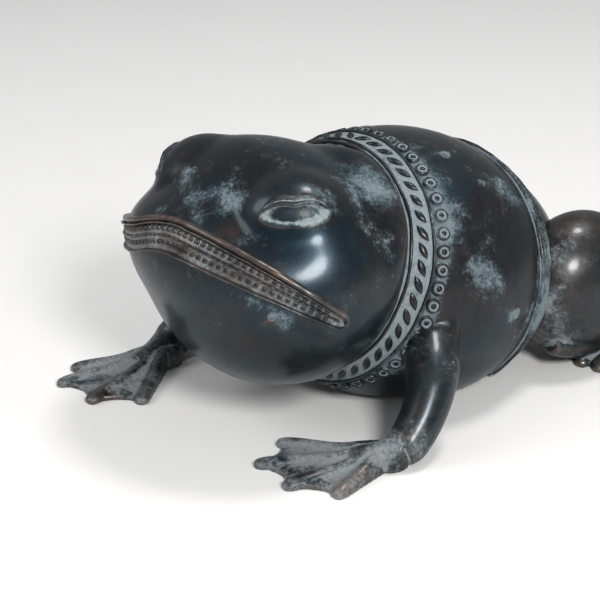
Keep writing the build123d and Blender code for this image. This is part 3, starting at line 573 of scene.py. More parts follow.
class Workshop:
    """Makes the pieces of the frog and puts them on its body."""

    def __init__(self) -> None:
        """Build every finish once."""
        self.finishes = {finish: finish.value.material() for finish in Finish}

    def piece(
        self,
        name: str,
        shape: Skin,
        finish: Finish,
        nodes: tuple[str, ...],
        rounds: int = 6,
        sharp: float = 0.25,
        hollow: Array | float = 0.0,
        rub: Array | float = 0.0,
    ) -> None:
        """Make a mesh piece with its finish.

        Args:
            name: name of the piece.
            shape: points in world millimetres, and faces.
            finish: the finish it gets.
            nodes: the nodes that it stands for.
            rounds: reach of the search for hollows, in vertices.
            sharp: depth in millimetres that counts as a full hollow or edge.
            hollow: more hollow to add at each point.
            rub: more copper rub to add at each point.
        """
        points, mesh = shape[0], closed_mesh(name, shape)
        mesh.polygons.foreach_set("use_smooth", [True] * len(mesh.polygons))
        depth = hollows(mesh, rounds) / sharp
        self.store(mesh, "hollow", np.clip(depth, 0.0, 1.2) + hollow)
        self.store(mesh, "edge", np.clip(-depth, 0.0, 1.0))
        # Pale patina patches, with one painted highlight on each haunch.
        self.store(mesh, "bloom_and_highlight", sum(spot.at(points) for spot in BLOOM_AND_HIGHLIGHT_SPOTS))
        self.store(mesh, "rub", np.clip(sum(spot.at(points) for spot in RUB_SPOTS) + rub, 0.0, 1.0))
        made = add(name, mesh)
        mesh.materials.append(self.finishes[finish])
        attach(made, BODY_NAME)
        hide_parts(*nodes)
        log.info("%s: %d faces for %s", name, len(mesh.polygons), ", ".join(nodes))

    @staticmethod
    def store(mesh: bpy.types.Mesh, name: str, values: Array) -> None:
        """Keep one value for each vertex on the mesh."""
        attribute = mesh.attributes.new(name, "FLOAT", "POINT")
        full = np.broadcast_to(np.asarray(values, dtype=np.float32), (len(mesh.vertices),))
        attribute.data.foreach_set("value", np.ascontiguousarray(full))

    def dress_node(self, node: str, finish: Finish) -> None:
        """Give a carried-over node its finish."""
        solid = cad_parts[node]
        solid.data.materials.clear()
        solid.data.materials.append(self.finishes[finish])
        log.info("%s: keeps its own shape", node)

    @staticmethod
    def fused(skins: list[Skin], voxel: float, rounds: int) -> Skin:
        """Melt overlapping closed skins into one smooth skin.

        Args:
            skins: the overlapping shapes, in world millimetres.
            voxel: size of the grid that they are melted on.
            rounds: how often the result is smoothed.

        Returns:
            Points and faces of the result.
        """
        mesh = closed_mesh("melt", gather(skins))
        melt = add("melt", mesh)
        remesh = melt.modifiers.new("remesh", "REMESH")
        remesh.mode = "VOXEL"
        remesh.voxel_size = voxel * MM
        calm = melt.modifiers.new("calm", "SMOOTH")
        calm.factor = 0.5
        calm.iterations = rounds
        bpy.context.view_layer.update()
        result = bpy.data.meshes.new_from_object(melt.evaluated_get(bpy.context.evaluated_depsgraph_get()))
        place = np.empty(len(result.vertices) * 3)
        result.vertices.foreach_get("co", place)
        found = [tuple(face.vertices) for face in result.polygons]
        bpy.data.objects.remove(melt)
        bpy.data.meshes.remove(mesh)
        bpy.data.meshes.remove(result)
        return place.reshape(-1, 3) / MM, found


def bead(path: Array, normals: Array, half_width: Array, height: Array, sink: float) -> Array:
    """Sections of a half-round bead along a path on a surface.

    Args:
        path: points of the path.
        normals: surface normals along it.
        half_width: half width at each point.
        height: height at each point.
        sink: how far the foot of the bead lies under the surface.

    Returns:
        One ring of points for each point of the path.
    """
    side = unit(np.cross(normals, np.gradient(path, axis=0)))
    turn = np.linspace(0.0, pi, 11)
    across = np.concatenate((np.cos(turn), (-1.0, 1.0)))
    up = np.concatenate((np.sin(turn), (0.0, 0.0)))
    foot = np.concatenate((np.zeros(11), (1.0, 1.0)))
    lift = height[:, None] * up[None] - sink * foot[None]
    spread = half_width[:, None] * across[None]
    return path[:, None] + side[:, None] * spread[..., None] + normals[:, None] * lift[..., None]


def stamp(outline: Array, shares: tuple[float, ...], levels: tuple[float, ...]) -> Array:
    """A small raised form on a flat seat, as rings of one outline.

    Args:
        outline: points of the outline, in its own plane.
        shares: size of each ring as a share of the outline.
        levels: height of each ring.

    Returns:
        The rings, with the third coordinate standing for height.
    """
    flat = np.ones(len(outline))
    rings = [np.column_stack((outline * share, flat * level)) for share, level in zip(shares, levels)]
    return np.stack(rings)


def set_down(form: Array, point: Array, normal: Array, along: Array, turn: float = 0.0) -> Skin:
    """Move a form from its own plane to a place on a surface of the trunk or the head.

    Args:
        form: rings of points, with height as the third coordinate.
        point: the place.
        normal: the surface normal there.
        along: the direction of the form's first axis.
        turn: turn about the normal, in radians.

    Returns:
        The form as a closed skin, in world millimetres.
    """
    first = unit(along - normal * float(along @ normal))
    second = np.cross(normal, first)
    u = form[..., 0] * cos(turn) - form[..., 1] * sin(turn)
    v = form[..., 0] * sin(turn) + form[..., 1] * cos(turn)
    rings = point + u[..., None] * first + v[..., None] * second + form[..., 2, None] * normal
    return skin(to_world(rings))


@dataclass
class Trunk:
    """Body and rump shells, and the plugs in the walls of body and head."""

    unevenness: float = 0.55
    stations: int = 150
    around: int = 360
    rump_stations: int = 70
    rump_around: int = 240
    plug_radius: float = 2.8
    jaw_plug_radius: float = 1.9
    pale_bands: tuple[tuple[float, float, float], ...] = ((-15.6, 3.6, 0.85), (-76.0, 2.5, 0.35))
    rump_band: Span = (4.0, 0.7)

    def lay(self, points: Array, normals: Array, height: Array | float) -> Array:
        """World points at a height over the body's uneven surface."""
        lift = wobble(points, self.unevenness) + height
        world = to_world(points + normals * lift[..., None])
        world[..., 2] = np.maximum(world[..., 2], BELLY_HEIGHT)
        return world

    def body(self, shop: Workshop) -> None:
        """Build the body shell."""
        share = np.linspace(0.0, 1.0, self.stations)[:, None]
        angle = full_turn(self.around)[None]
        ahead = NECK_CUT.ahead + (RUMP_CUT.ahead - NECK_CUT.ahead) * share
        lean = NECK_CUT.lean * (1.0 - share)
        points, normals = BODY_EGG.ring(np.zeros_like(ahead), ahead, lean, angle)
        shape = skin(self.lay(points, normals, 0.0))
        shift = NECK_CUT.shift_of(to_trunk(shape[0]))
        ground = sum(bell(shift - middle, reach) * strength for middle, reach, strength in self.pale_bands)
        shop.piece("body", shape, Finish.SHELL, ("body_shell",), hollow=ground)

    def rump(self, shop: Workshop) -> None:
        """Build the rump shell."""
        start = np.arcsin((RUMP_EGG.centre[2] - RUMP_CUT.ahead) / RUMP_EGG.half[2])
        swing = np.linspace(start, pi / 2.0 - 0.01, self.rump_stations)[:, None]
        ahead = RUMP_EGG.centre[2] - RUMP_EGG.half[2] * np.sin(swing)
        angle = full_turn(self.rump_around)[None]
        points, normals = RUMP_EGG.ring(np.zeros_like(ahead), ahead, np.zeros_like(ahead), angle)
        shape = skin(self.lay(points, normals, 0.0))
        shift = RUMP_CUT.shift_of(to_trunk(shape[0]))
        reach, strength = self.rump_band
        ground = bell(shift, reach) * strength
        shop.piece("rump", shape, Finish.SHELL, ("rump_shell",), hollow=ground)

    def plugs(self, shop: Workshop, head: "Head") -> None:
        """Build the plugs in the holes that the core pins left."""
        disc = circle(28)
        shares = (1.0, 1.0, 0.93, 0.80, 0.70, 0.45, 0.05)
        levels = (-1.2, 0.22, 0.36, 0.30, 0.12, 0.26, 0.34)
        skins = []
        for egg, direction, radius in (
            (BODY_EGG, (0.40, 0.92, 0.11), self.plug_radius),
            (BODY_EGG, (0.98, -0.05, -0.16), self.plug_radius),
            (HEAD_EGG, (0.76, -0.16, 0.59), self.jaw_plug_radius),
        ):
            for side in (1.0, -1.0):
                heading = unit(np.array(direction) * flip_to(side))
                point = np.array(egg.centre) + np.array(egg.half) * heading
                normal = egg.normals(point)
                if egg is BODY_EGG:
                    seat = point + normal * wobble(point, self.unevenness)
                else:
                    seat, normal = (found[0] for found in head.seat(point[None]))
                form = stamp(disc * radius, shares, levels)
                skins.append(set_down(form, seat, normal, np.array((0.0, 0.0, 1.0))))
        shop.piece("plugs", gather(skins), Finish.PLAIN, ("core_plugs",), hollow=0.25)

    def build(self, shop: Workshop, head: "Head") -> None:
        """Build every piece of the trunk."""
        self.body(shop)
        self.rump(shop)
        self.plugs(shop, head)


@dataclass
class Head:
    """Head shell with its two eye lobes."""

    lobe_half: Point = (21.0, 18.5, 26.0)
    lobe_middle: Point = (33.0, 28.0, 48.0)
    blend: float = 2.2
    unevenness: float = 0.6
    lip_recess: float = 1.3
    snout_fall: float = 5.5
    jaw_fall: float = 5.5
    lip_band: Span = (3.0, 11.0)
    lip_ahead: Span = (30.0, 55.0)
    snout_band: Span = (4.0, 28.0)
    jaw_band: Span = (4.0, 34.0)
    fall_ahead: Span = (44.0, 80.0)
    nape_height: float = 10.0
    nape_ahead: float = 8.0
    nape_length: float = 8.0
    neck_band: Span = (3.0, 0.45)
    nape_rise: Span = (-0.25, 0.75)
    nape_sides: tuple[tuple[float, ...], ...] = ((1.0, 1.0, 1.10, 1.90), (-1.0, 0.6, 0.8, 1.3))
    cells: int = 104

    def lobe(self, side: float) -> Egg:
        """The egg of one eye lobe."""
        across, up, ahead = self.lobe_middle
        return Egg(self.lobe_half, (side * across, up, ahead))

    def surface(self, rays: Array) -> Array:
        """Trunk points where unit rays from the head's middle leave the head.

        Args:
            rays: the directions.

        Returns:
            The points on the finished surface.
        """
        start = np.array(HEAD_EGG.centre)
        reach = HEAD_EGG.reach(start, rays)
        for side in (1.0, -1.0):
            other = self.lobe(side).reach(start, rays)
            gap = np.abs(other - reach)
            reach = np.maximum(other, reach) + self.blend * np.log1p(np.exp(-gap / self.blend))
        points = start + rays * reach[..., None]
        under = MOUTH_CUT.shift_of(points)
        ahead = points[..., 2]
        recess = self.lip_recess * smooth_step(under, *self.lip_band) * smooth_step(ahead, *self.lip_ahead)
        over = -SNOUT_CUT.shift_of(points)
        fall = self.snout_fall * smooth_step(over, *self.snout_band)
        fall = fall + self.jaw_fall * smooth_step(-over, *self.jaw_band)
        lift = wobble(points, self.unevenness) - recess - fall * smooth_step(ahead, *self.fall_ahead)
        return points + rays * (lift + self.nape(points))[..., None]

    def nape(self, points: Array) -> Array:
        """Height of the roll behind the eye lobes, which runs up to the collar."""
        share = np.zeros(points.shape[:-1])
        for side, strength, low, high in self.nape_sides:
            slope = np.arctan2(points[..., 1], side * points[..., 0])
            roll = strength * smooth_step(slope, *self.nape_rise) * (1.0 - smooth_step(slope, low, high))
            share = np.maximum(share, roll)
        return self.nape_height * share * bell(points[..., 2] - self.nape_ahead, self.nape_length)

    def seat(self, points: Array) -> tuple[Array, Array]:
        """The nearest places on the head along rays from its middle.

        Args:
            points: trunk points near the surface.

        Returns:
            The places and their normals.
        """
        rays = unit(points - np.array(HEAD_EGG.centre))
        first = unit(np.cross(rays, np.array((0.31, 0.87, 0.39))))
        second = np.cross(rays, first)
        base, small = self.surface(rays), 0.004
        along = self.surface(unit(rays + first * small)) - base
        over = self.surface(unit(rays + second * small)) - base
        return base, unit(np.cross(along, over))

    def lay(self, points: Array, height: Array | float) -> Array:
        """World points at a height over the head's surface."""
        base, normal = self.seat(points)
        return to_world(base + normal * np.broadcast_to(height, points.shape[:-1])[..., None])

    def build(self, shop: Workshop) -> None:
        """Build the head shell from six patches that meet at their edges."""
        grid = np.tan(np.linspace(-pi / 4.0, pi / 4.0, self.cells + 1))
        u, v = np.meshgrid(grid, grid, indexing="ij")
        one = np.ones_like(u)
        sides = [(one, u, v), (-one, v, u), (u, -one, v), (v, one, u), (u, v, one), (v, u, -one)]
        rays = unit(np.concatenate([np.stack(side, -1).reshape(-1, 3) for side in sides]))
        _, first, back = np.unique(np.round(rays, 6), axis=0, return_index=True, return_inverse=True)
        back = back.reshape(6, self.cells + 1, self.cells + 1)
        corners = (back[:, :-1, :-1], back[:, 1:, :-1], back[:, 1:, 1:], back[:, :-1, 1:])
        faces = np.stack([corner.reshape(-1) for corner in corners], -1).tolist()
        points = to_world(self.surface(rays[first]))
        shift = NECK_CUT.shift_of(to_trunk(points))
        reach, strength = self.neck_band
        crust = bell(shift, reach) * strength
        shop.piece("head", (points, faces), Finish.SHELL, ("head_shell",), sharp=0.50, hollow=crust)


@dataclass
class Eye:
    """One eye: the eyeball, the socket edge round it and the heavy upper lid."""

    side: float
    word: str
    half_length: float = 12.0
    half_height: float = 4.2
    direction: Point = (0.77, 0.36, 0.53)
    lengthways: Point = (0.54, 0.15, -0.82)
    around: int = 96
    lid_steps: int = 90
    lid_reach: float = 1.17
    lid_depth: float = 5.6
    crease_share: float = 0.39
    crease_reach: float = 0.05
    crease_depth: float = 0.6

    def spread(self, head: Head, u: Array, v: Array) -> Array:
        """Trunk points of places on the eye's plane, u to the rear and v up."""
        heading = unit(np.array(self.direction))
        offset = np.array(head.lobe_half) * heading
        normal = unit(offset / np.array(head.lobe_half) ** 2)
        along = np.array(self.lengthways)
        along = unit(along - normal * float(along @ normal))
        up = np.cross(normal, along)
        points = np.array(head.lobe_middle) + offset + u[..., None] * along + v[..., None] * up
        return points * flip_to(self.side)

    def oval(self, head: Head, shares: Array, heights: Array) -> Array:
        """Rings of one oval at shares of its size and heights over the head."""
        turn = full_turn(self.around)[None]
        u = self.half_length * shares[:, None] * np.cos(turn)
        v = self.half_height * shares[:, None] * np.sin(turn)
        widen = 0.6 * (shares[:, None] - 1.0).clip(0.0) * self.half_length
        return head.lay(self.spread(head, u, v + widen * 0.55 * np.sin(turn)), heights[:, None])

    def ball(self, shop: Workshop, head: Head) -> None:
        """Build the eyeball, a low dome."""
        shares = np.array((0.02, 0.15, 0.3, 0.45, 0.6, 0.72, 0.82, 0.9, 0.95, 0.98, 0.98, 0.5))
        heights = np.array((0.35, 0.35, 0.35, 0.34, 0.32, 0.30, 0.26, 0.20, 0.12, 0.0, -0.9, -1.2))
        rim = np.repeat(smooth_step(shares, 0.60, 0.98) * 0.7, self.around)
        shape = skin(self.oval(head, shares, heights))
        hollow = np.concatenate((rim, (0.0, 0.0)))
        shop.piece(f"{self.word}_eyeball", shape, Finish.EYE, (f"{self.word}_eye",), sharp=0.5, hollow=hollow)

    def socket(self, shop: Workshop, head: Head) -> None:
        """Build the pale groove round the eyeball with its soft outer edge."""
        shares = np.array((0.90, 0.97, 1.03, 1.07, 1.11, 1.16, 1.22, 1.30, 1.42, 1.42, 0.90))
        heights = np.array((0.05, 0.05, 0.08, 0.22, 0.45, 0.58, 0.55, 0.34, -0.12, -0.8, -0.8))
        turn = full_turn(self.around)
        low = 1.0 - 0.8 * smooth_step(np.sin(turn), 0.0, 0.7)
        pale = np.array((0.9, 1.0, 1.1, 1.0, 0.85, 0.65, 0.4, 0.2, 0.0, 0.0, 0.0))
        pale = np.repeat(pale, self.around) * np.tile(low, len(pale))
        shape = skin(self.oval(head, shares, heights), loop=True)
        node = f"{self.word}_eye_rim"
        shop.piece(f"{self.word}_socket", shape, Finish.EYE, (node,), sharp=0.5, hollow=pale)

    def lid(self, shop: Workshop, head: Head) -> None:
        """Build the upper lid, a fold that hangs over the eyeball."""
        along = np.linspace(-1.0, 1.0, self.lid_steps)
        reach = self.half_length * self.lid_reach
        arch = np.sqrt(np.maximum(1.0 - along**2, 0.0))
        edge = self.half_height * (0.72 * arch**0.7 - 0.28 * bell(along, 0.30))
        deep = 1.0 + self.lid_depth * arch**0.7
        share = np.array((0.0, 0.0, 0.03, 0.08, 0.15, 0.25, 0.33, 0.39, 0.46, 0.58, 0.78, 1.0, 1.0))
        level = np.array((-0.6, 0.7, 1.2, 1.5, 1.65, 1.6, 1.35, 1.1, 1.25, 1.2, 0.6, -0.1, -0.6))
        crease = bell(share - self.crease_share, self.crease_reach) * self.crease_depth
        fade = arch**0.6
        height = level[None] * np.where(level > 0.0, fade[:, None], 1.0)
        height = height - crease[None] * smooth_step(along, -0.2, 0.3)[:, None] * fade[:, None]
        u = np.broadcast_to((along * reach)[:, None], height.shape)
        v = edge[:, None] + share[None] * deep[:, None]
        rings = head.lay(self.spread(head, u, v), height)
        pale = crease * 1.1 + (share == 0.0) * 0.8
        hollow = np.concatenate((np.tile(pale, self.lid_steps), (0.4, 0.4)))
        shop.piece(
            f"{self.word}_lid", skin(rings), Finish.EYE, (f"{self.word}_upper_lid",), sharp=0.6, hollow=hollow
        )

    def build(self, shop: Workshop, head: Head) -> None:
        """Build every piece of the eye."""
        self.ball(shop, head)
        self.socket(shop, head)
        self.lid(shop, head)


@dataclass
class Mouth:
    """The long mouth band with its lips, middle rail and two rows of teeth."""

    half_height: float = 5.2
    corner_share: float = 0.64
    snout_share: float = 1.42
    right_sag: float = 7.0
    sag_start: Span = (-8.0, 34.0)
    sag_end: Span = (40.0, 64.0)
    sag_ease: float = 0.6
    strap: float = 0.8
    gap: float = 0.3
    floor_start: float = 0.06
    floor_pale: float = 0.42
    corner_pale: float = 0.7
    corner_reach: float = 7.0
    lip_width: float = 1.9
    upper_bead: float = 3.4
    upper_height: float = 1.9
    thread_width: float = 1.0
    thread_height: float = 2.2
    lower_bead: float = 1.4
    lower_height: float = 1.4
    rail_half_width: float = 0.6
    rail_height: float = 1.3
    bead_lift: float = 0.5
    bead_sink: float = 0.9
    tooth_width: float = 2.3
    tooth_pitch: float = 3.5
    tooth_squareness: float = 0.45
    tooth_spread: float = 0.10
    steps: int = 300

    def start_angle(self, along: float, level: Array) -> Array:
        """Angle on the head at a place along the mouth and a level within it."""
        middle, _, height = HEAD_EGG.section(*MOUTH_CUT.moved(-level), MOUTH_CUT.lean)
        return np.arcsin(np.clip((along - middle) / height, -1.0, 1.0))

    def at(self, angle: Array, level: Array) -> Array:
        """Trunk points at an angle round the snout and a level within the mouth.

        Args:
            angle: angle round the head, from one side over the snout to the other.
            level: height in the mouth; the mouth narrows to its corners and grows towards the snout.

        Returns:
            The points on the plain egg of the head.
        """
        middle, width, height = HEAD_EGG.section(MOUTH_CUT.rise, MOUTH_CUT.ahead, MOUTH_CUT.lean)
        gone = (middle + height * np.sin(angle) - self.half_height) / (middle + height - self.half_height)
        taller = self.corner_share + (self.snout_share - self.corner_share) * gone
        rise, ahead = MOUTH_CUT.moved(self.sag(width * np.cos(angle)) - level * taller)
        return HEAD_EGG.ring(rise, ahead, MOUTH_CUT.lean, angle)[0]

    def sag(self, across: Array) -> Array:
        """How far the hand-laid band hangs under its plane, on the right of the snout."""
        eased = 1.0 - self.sag_ease * smooth_step(-across, *self.sag_end)
        return self.right_sag * (smooth_step(-across, *self.sag_start) * eased)

    def floor(self, shop: Workshop, head: Head) -> None:
        """Build the strap that the mouth's trim sits on."""
        first = float(self.start_angle(self.floor_start, np.zeros(1))[0])
        angle = np.linspace(first, pi - first, self.steps)[:, None]
        middle, _, height = HEAD_EGG.section(*MOUTH_CUT.moved(np.zeros(1)), MOUTH_CUT.lean)
        along = middle + height * np.sin(angle)
        inset = np.clip(1.0 - along / self.half_height, 0.0, 1.0)
        open_share = np.sqrt(1.0 - inset**2)
        level = np.array((-1.0, -1.0, -0.9, -0.45, 0.0, 0.45, 0.9, 1.0, 1.0)) * (self.half_height - self.gap)
        lift = np.array((-0.6, 0.4, self.strap, self.strap, self.strap, self.strap, self.strap, 0.4, -0.6))
        lifts = np.broadcast_to(lift, (self.steps, len(lift)))
        rings = head.lay(self.at(angle, level[None] * open_share), lifts)
        corner = self.floor_pale + self.corner_pale * np.exp(-along / self.corner_reach)
        hollow = np.concatenate((np.repeat(corner, len(lift)), (1.0, 1.0)))
        shop.piece("mouth_floor", skin(rings), Finish.MOUTH, ("mouth_band",), hollow=hollow)

    def lip_path(self, side: float, inset: float) -> tuple[Array, Array]:
        """Angle and level along one lip, from one corner of the mouth to the other.

        Args:
            side: 1 for the upper lip, -1 for the lower.
            inset: how far the path lies inside the mouth's edge.

        Returns:
            The angles and the levels.
        """
        radius = self.half_height - inset
        swing = np.linspace(0.0, pi / 2.0, 16)
        along, level = self.half_height - radius * np.cos(swing), side * radius * np.sin(swing)
        corner = np.array([float(self.start_angle(a, np.array(b))) for a, b in zip(along, level)])
        run = np.linspace(corner[-1], pi - corner[-1], self.steps)[1:-1]
        angles = np.concatenate((corner, run, pi - corner[::-1]))
        levels = np.concatenate((level, np.full(len(run), side * radius), level[::-1]))
        return angles, levels

    def lips(self, shop: Workshop, head: Head) -> None:
        """Build the upper and the lower lip."""
        rows = (
            (1.0, "upper", (
                (self.upper_height, self.upper_bead, self.lip_width / 2.0 - 0.6, 0.16),
                (self.thread_height, self.thread_width, self.lip_width + 0.2, 0.0),
            )),
            (-1.0, "lower", ((self.lower_height, self.lower_bead, self.lower_bead / 2.0, 0.06),)),
        )
        for side, word, beads in rows:
            skins, copper = [], []
            for height, width, inset, polish in beads:
                angle, level = self.lip_path(side, inset)
                base, normal = head.seat(self.at(angle, level))
                run = np.linspace(0.0, 1.0, len(angle))
                taper = 0.55 + 0.45 * smooth_step(np.minimum(run, 1.0 - run), 0.0, 0.06)
                thick = taper * (1.0 + 0.05 * np.sin(run * 61.0) + 0.04 * np.sin(run * 143.0 + 1.0))
                seat = base + normal * self.bead_lift
                half, tall = width / 2.0 * thick, (height + 0.2) * thick
                rings = bead(seat, normal, half, tall, self.bead_sink)
                skins.append(skin(to_world(rings)))
                rub = polish * smooth_step(np.sin(run * pi), 0.15, 0.7)
                copper.append(np.concatenate((np.repeat(rub, rings.shape[1]), (0.0, 0.0))))
            shop.piece(
                f"{word}_lip_ridge", gather(skins), Finish.MOUTH, (f"{word}_lip",), rounds=2, sharp=0.25,
                rub=np.concatenate(copper),
            )

    def middle_rail(self, shop: Workshop, head: Head) -> None:
        """Build the rail between the rows of teeth."""
        first = float(self.start_angle(self.half_height, np.zeros(1))[0])
        angle = np.linspace(first, pi - first, self.steps)
        base, normal = head.seat(self.at(angle, np.zeros_like(angle)))
        thick = 1.0 + 0.10 * np.sin(angle * 57.0) + 0.08 * np.sin(angle * 133.0)
        half, tall = self.rail_half_width * thick, self.rail_height * thick
        rings = bead(base + normal * self.bead_lift, normal, half, tall, self.bead_sink)
        shop.piece("mouth_rail", skin(to_world(rings)), Finish.MOUTH, ("mouth_middle_rail",), rounds=2)

    def teeth(self, shop: Workshop, head: Head, rng: np.random.Generator) -> None:
        """Build both rows of teeth."""
        disc = circle(16)
        round_box = np.sign(disc) * np.abs(disc) ** self.tooth_squareness
        shares, levels = (1.0, 1.0, 0.93, 0.72, 0.3), (-0.4, 1.0, 1.25, 1.4, 1.45)
        low, high = self.rail_half_width + self.gap, self.half_height - self.lip_width - self.gap
        for side, word in ((1.0, "upper"), (-1.0, "lower")):
            level = np.array(side * (low + high) / 2.0)
            stop = float(self.start_angle(2.0 * self.half_height, level))
            fine = np.linspace(pi / 2.0, stop, 2000)
            path = self.at(fine, np.full_like(fine, float(level)))
            gone = np.concatenate(((0.0,), np.cumsum(np.linalg.norm(np.diff(path, axis=0), axis=1))))
            places = np.arange(self.tooth_pitch / 2.0, gone[-1], self.tooth_pitch)
            angles = np.interp(places, gone, fine)
            angles = np.concatenate((angles, pi - angles))
            line = np.full_like(angles, float(level))
            base, normal = head.seat(self.at(angles, line))
            ahead = self.at(angles + 0.01, line) - self.at(angles, line)
            skins = []
            for point, out, heading in zip(base, normal, ahead):
                size = 1.0 + self.tooth_spread * rng.uniform(-1.0, 1.0)
                outline = round_box * np.array((self.tooth_width / 2.0 * size, (high - low) / 2.0))
                form = stamp(outline, shares, levels)
                skins.append(set_down(form, point, out, heading))
            shop.piece(
                f"{word}_teeth", gather(skins), Finish.MOUTH, (f"{word}_tooth_row",),
                rounds=1, sharp=0.2, hollow=-0.15,
            )

    def build(self, shop: Workshop, head: Head, rng: np.random.Generator) -> None:
        """Build every piece of the mouth."""
        self.floor(shop, head)
        self.lips(shop, head)
        self.middle_rail(shop, head)
        self.teeth(shop, head, rng)


@dataclass
class Banding:
    """Straps and rails that run round the body beside a cut."""

    trunk: Trunk
    cut: Cut
    steps: int = 420

    def sweep(self, shifts: Array, heights: Array) -> Array:
        """Rings of a band from the shifts and heights of its section at each angle."""
        angle = full_turn(self.steps)[:, None]
        rise, ahead = self.cut.moved(shifts)
        points, normals = BODY_EGG.ring(rise, ahead, self.cut.lean, angle)
        return self.trunk.lay(points, normals, heights)

    def strap(self, start: float, end: float, thick: float) -> Array:
        """Rings of a flat strap between two shifts."""
        share = np.array((0.0, 0.0, 0.04, 0.25, 0.5, 0.75, 0.96, 1.0, 1.0))
        level = np.array((-0.8, thick * 0.6, thick, thick, thick, thick, thick, thick * 0.6, -0.8))
        shifts = np.broadcast_to(start + (end - start) * share, (self.steps, len(share)))
        return self.sweep(shifts, np.broadcast_to(level, shifts.shape))

    def rail(self, middle: float, width: float, foot: float, height: float, seed: float) -> Array:
        """Rings of a wax-thread rail.

        Args:
            middle: shift of its middle line.
            width: its width.
            foot: height of the strap that it lies on.
            height: its height over the strap.
            seed: sets its unevenness apart from the other rails'.

        Returns:
            The rings.
        """
        angle = full_turn(self.steps)[:, None]
        drift = 0.16 * np.sin(angle * 5.0 + seed) + 0.12 * np.sin(angle * 11.0 + 2.3 * seed)
        thick = 1.0 + 0.07 * np.sin(angle * 17.0 + seed) + 0.06 * np.sin(angle * 41.0 - seed)
        turn = np.linspace(0.0, pi, 9)
        across = np.concatenate((np.cos(turn), (-1.0, 1.0)))[None]
        up = np.concatenate((np.sin(turn), (-0.35, -0.35)))[None]
        return self.sweep(middle + drift + across * thick * width / 2.0, foot - 0.1 + up * thick * height)


@dataclass
class Collar:
    """The collar: strap, three rails, slanted leaves and ringed discs."""

    strap_width: float = 12.0
    strap_height: float = 1.0
    rail_height: float = 1.25
    leaf_count: int = 46
    leaf_half_length: float = 4.1
    leaf_half_width: float = 1.6
    leaf_slant: float = radians(31.0)
    roundel_count: int = 46
    roundel_radius: float = 3.2
    leaf_shift: float = -7.15
    roundel_shift: float = -15.5
    leaf_roundness: float = 1.9
    leaf_turn_spread: float = 0.08
    leaf_size_spread: float = 0.07
    roundel_spread: float = 0.05
    rails: tuple[tuple[str, float, float, float], ...] = (
        ("collar_front_rail", -0.85, 1.5, 0.3),
        ("collar_second_rail", -2.95, 1.3, 1.7),
        ("collar_middle_rail", -11.3, 1.3, 3.9),
    )

    def bands(self, shop: Workshop, banding: Banding) -> None:
        """Build the strap and its rails."""
        strap = banding.strap(0.0, -self.strap_width, self.strap_height)
        shop.piece("collar_strap", skin(strap, loop=True), Finish.COLLAR, ("collar_band",), hollow=0.85)
        for node, middle, width, seed in self.rails:
            rings = banding.rail(middle, width, self.strap_height, self.rail_height, seed)
            shop.piece(f"{node}_thread", skin(rings, loop=True), Finish.COLLAR, (node,), rounds=2, sharp=0.2)

    def row(self, shift: float, count: int, foot: float, trunk: Trunk) -> tuple[Array, Array, Array, Array]:
        """Places round the collar.

        Args:
            shift: how far behind the neck joint the row lies.
            count: number of places.
            foot: height over the body's surface.
            trunk: the body that carries it.

        Returns:
            Angles, places, normals and directions along the row.
        """
        angle = 2.0 * pi * (np.arange(count) + 0.5) / count
        rise, ahead = NECK_CUT.moved(shift)
        points, normals = BODY_EGG.ring(rise, ahead, NECK_CUT.lean, angle)
        further = BODY_EGG.ring(rise, ahead, NECK_CUT.lean, angle + 0.01)[0]
        places = points + normals * (wobble(points, trunk.unevenness) + foot)[..., None]
        return angle, places, normals, further - points

    def leaves(self, shop: Workshop, trunk: Trunk, rng: np.random.Generator) -> None:
        """Build the row of leaves."""
        share = np.linspace(-1.0, 1.0, 11)
        half = 1.0 - np.abs(share) ** self.leaf_roundness
        upper = np.column_stack((share * self.leaf_half_length, half * self.leaf_half_width))
        outline = np.concatenate((upper, upper[-2:0:-1] * np.array((1.0, -1.0))))
        shares, levels = (1.0, 1.0, 0.82, 0.45, 0.08), (-0.5, 0.45, 0.85, 1.15, 1.2)
        skins = []
        row = self.row(self.leaf_shift, self.leaf_count, self.strap_height, trunk)
        for angle, place, normal, along in zip(*row):
            slant = self.leaf_slant if cos(angle) > 0.0 else -self.leaf_slant
            turn = slant + self.leaf_turn_spread * rng.uniform(-1.0, 1.0)
            size = 1.0 + self.leaf_size_spread * rng.uniform(-1.0, 1.0)
            form = stamp(outline * size, shares, levels)
            skins.append(set_down(form, place, normal, along, turn))
        shop.piece("collar_leaf_row", gather(skins), Finish.COLLAR, ("collar_leaves",), rounds=1, hollow=-0.3)

    def roundels(self, shop: Workshop, trunk: Trunk, rng: np.random.Generator) -> None:
        """Build the row of ringed discs."""
        disc = circle(24)
        shares = (1.0, 1.0, 0.95, 0.84, 0.72, 0.62, 0.50, 0.42, 0.33, 0.20, 0.05)
        levels = (-0.6, 0.95, 1.35, 1.50, 1.30, 0.75, 0.65, 0.95, 1.30, 1.50, 1.55)
        groove = np.array((0.3, 0.3, 0.0, -0.3, 0.1, 1.0, 1.1, 0.6, 0.0, -0.2, -0.2))
        skins, hollow = [], []
        row = self.row(self.roundel_shift, self.roundel_count, 0.0, trunk)
        for _, place, normal, along in zip(*row):
            size = self.roundel_radius * (1.0 + self.roundel_spread * rng.uniform(-1.0, 1.0))
            form = stamp(disc * size, shares, levels)
            skins.append(set_down(form, place, normal, along))
            hollow.append(np.concatenate((np.repeat(groove, len(disc)), (0.0, -0.2))))
        shop.piece(
            "collar_roundel_row", gather(skins), Finish.COLLAR, ("collar_roundels",),
            rounds=1, hollow=np.concatenate(hollow),
        )

    def build(self, shop: Workshop, trunk: Trunk, rng: np.random.Generator) -> None:
        """Build every piece of the collar."""
        self.bands(shop, Banding(trunk, NECK_CUT))
        self.leaves(shop, trunk, rng)
        self.roundels(shop, trunk, rng)


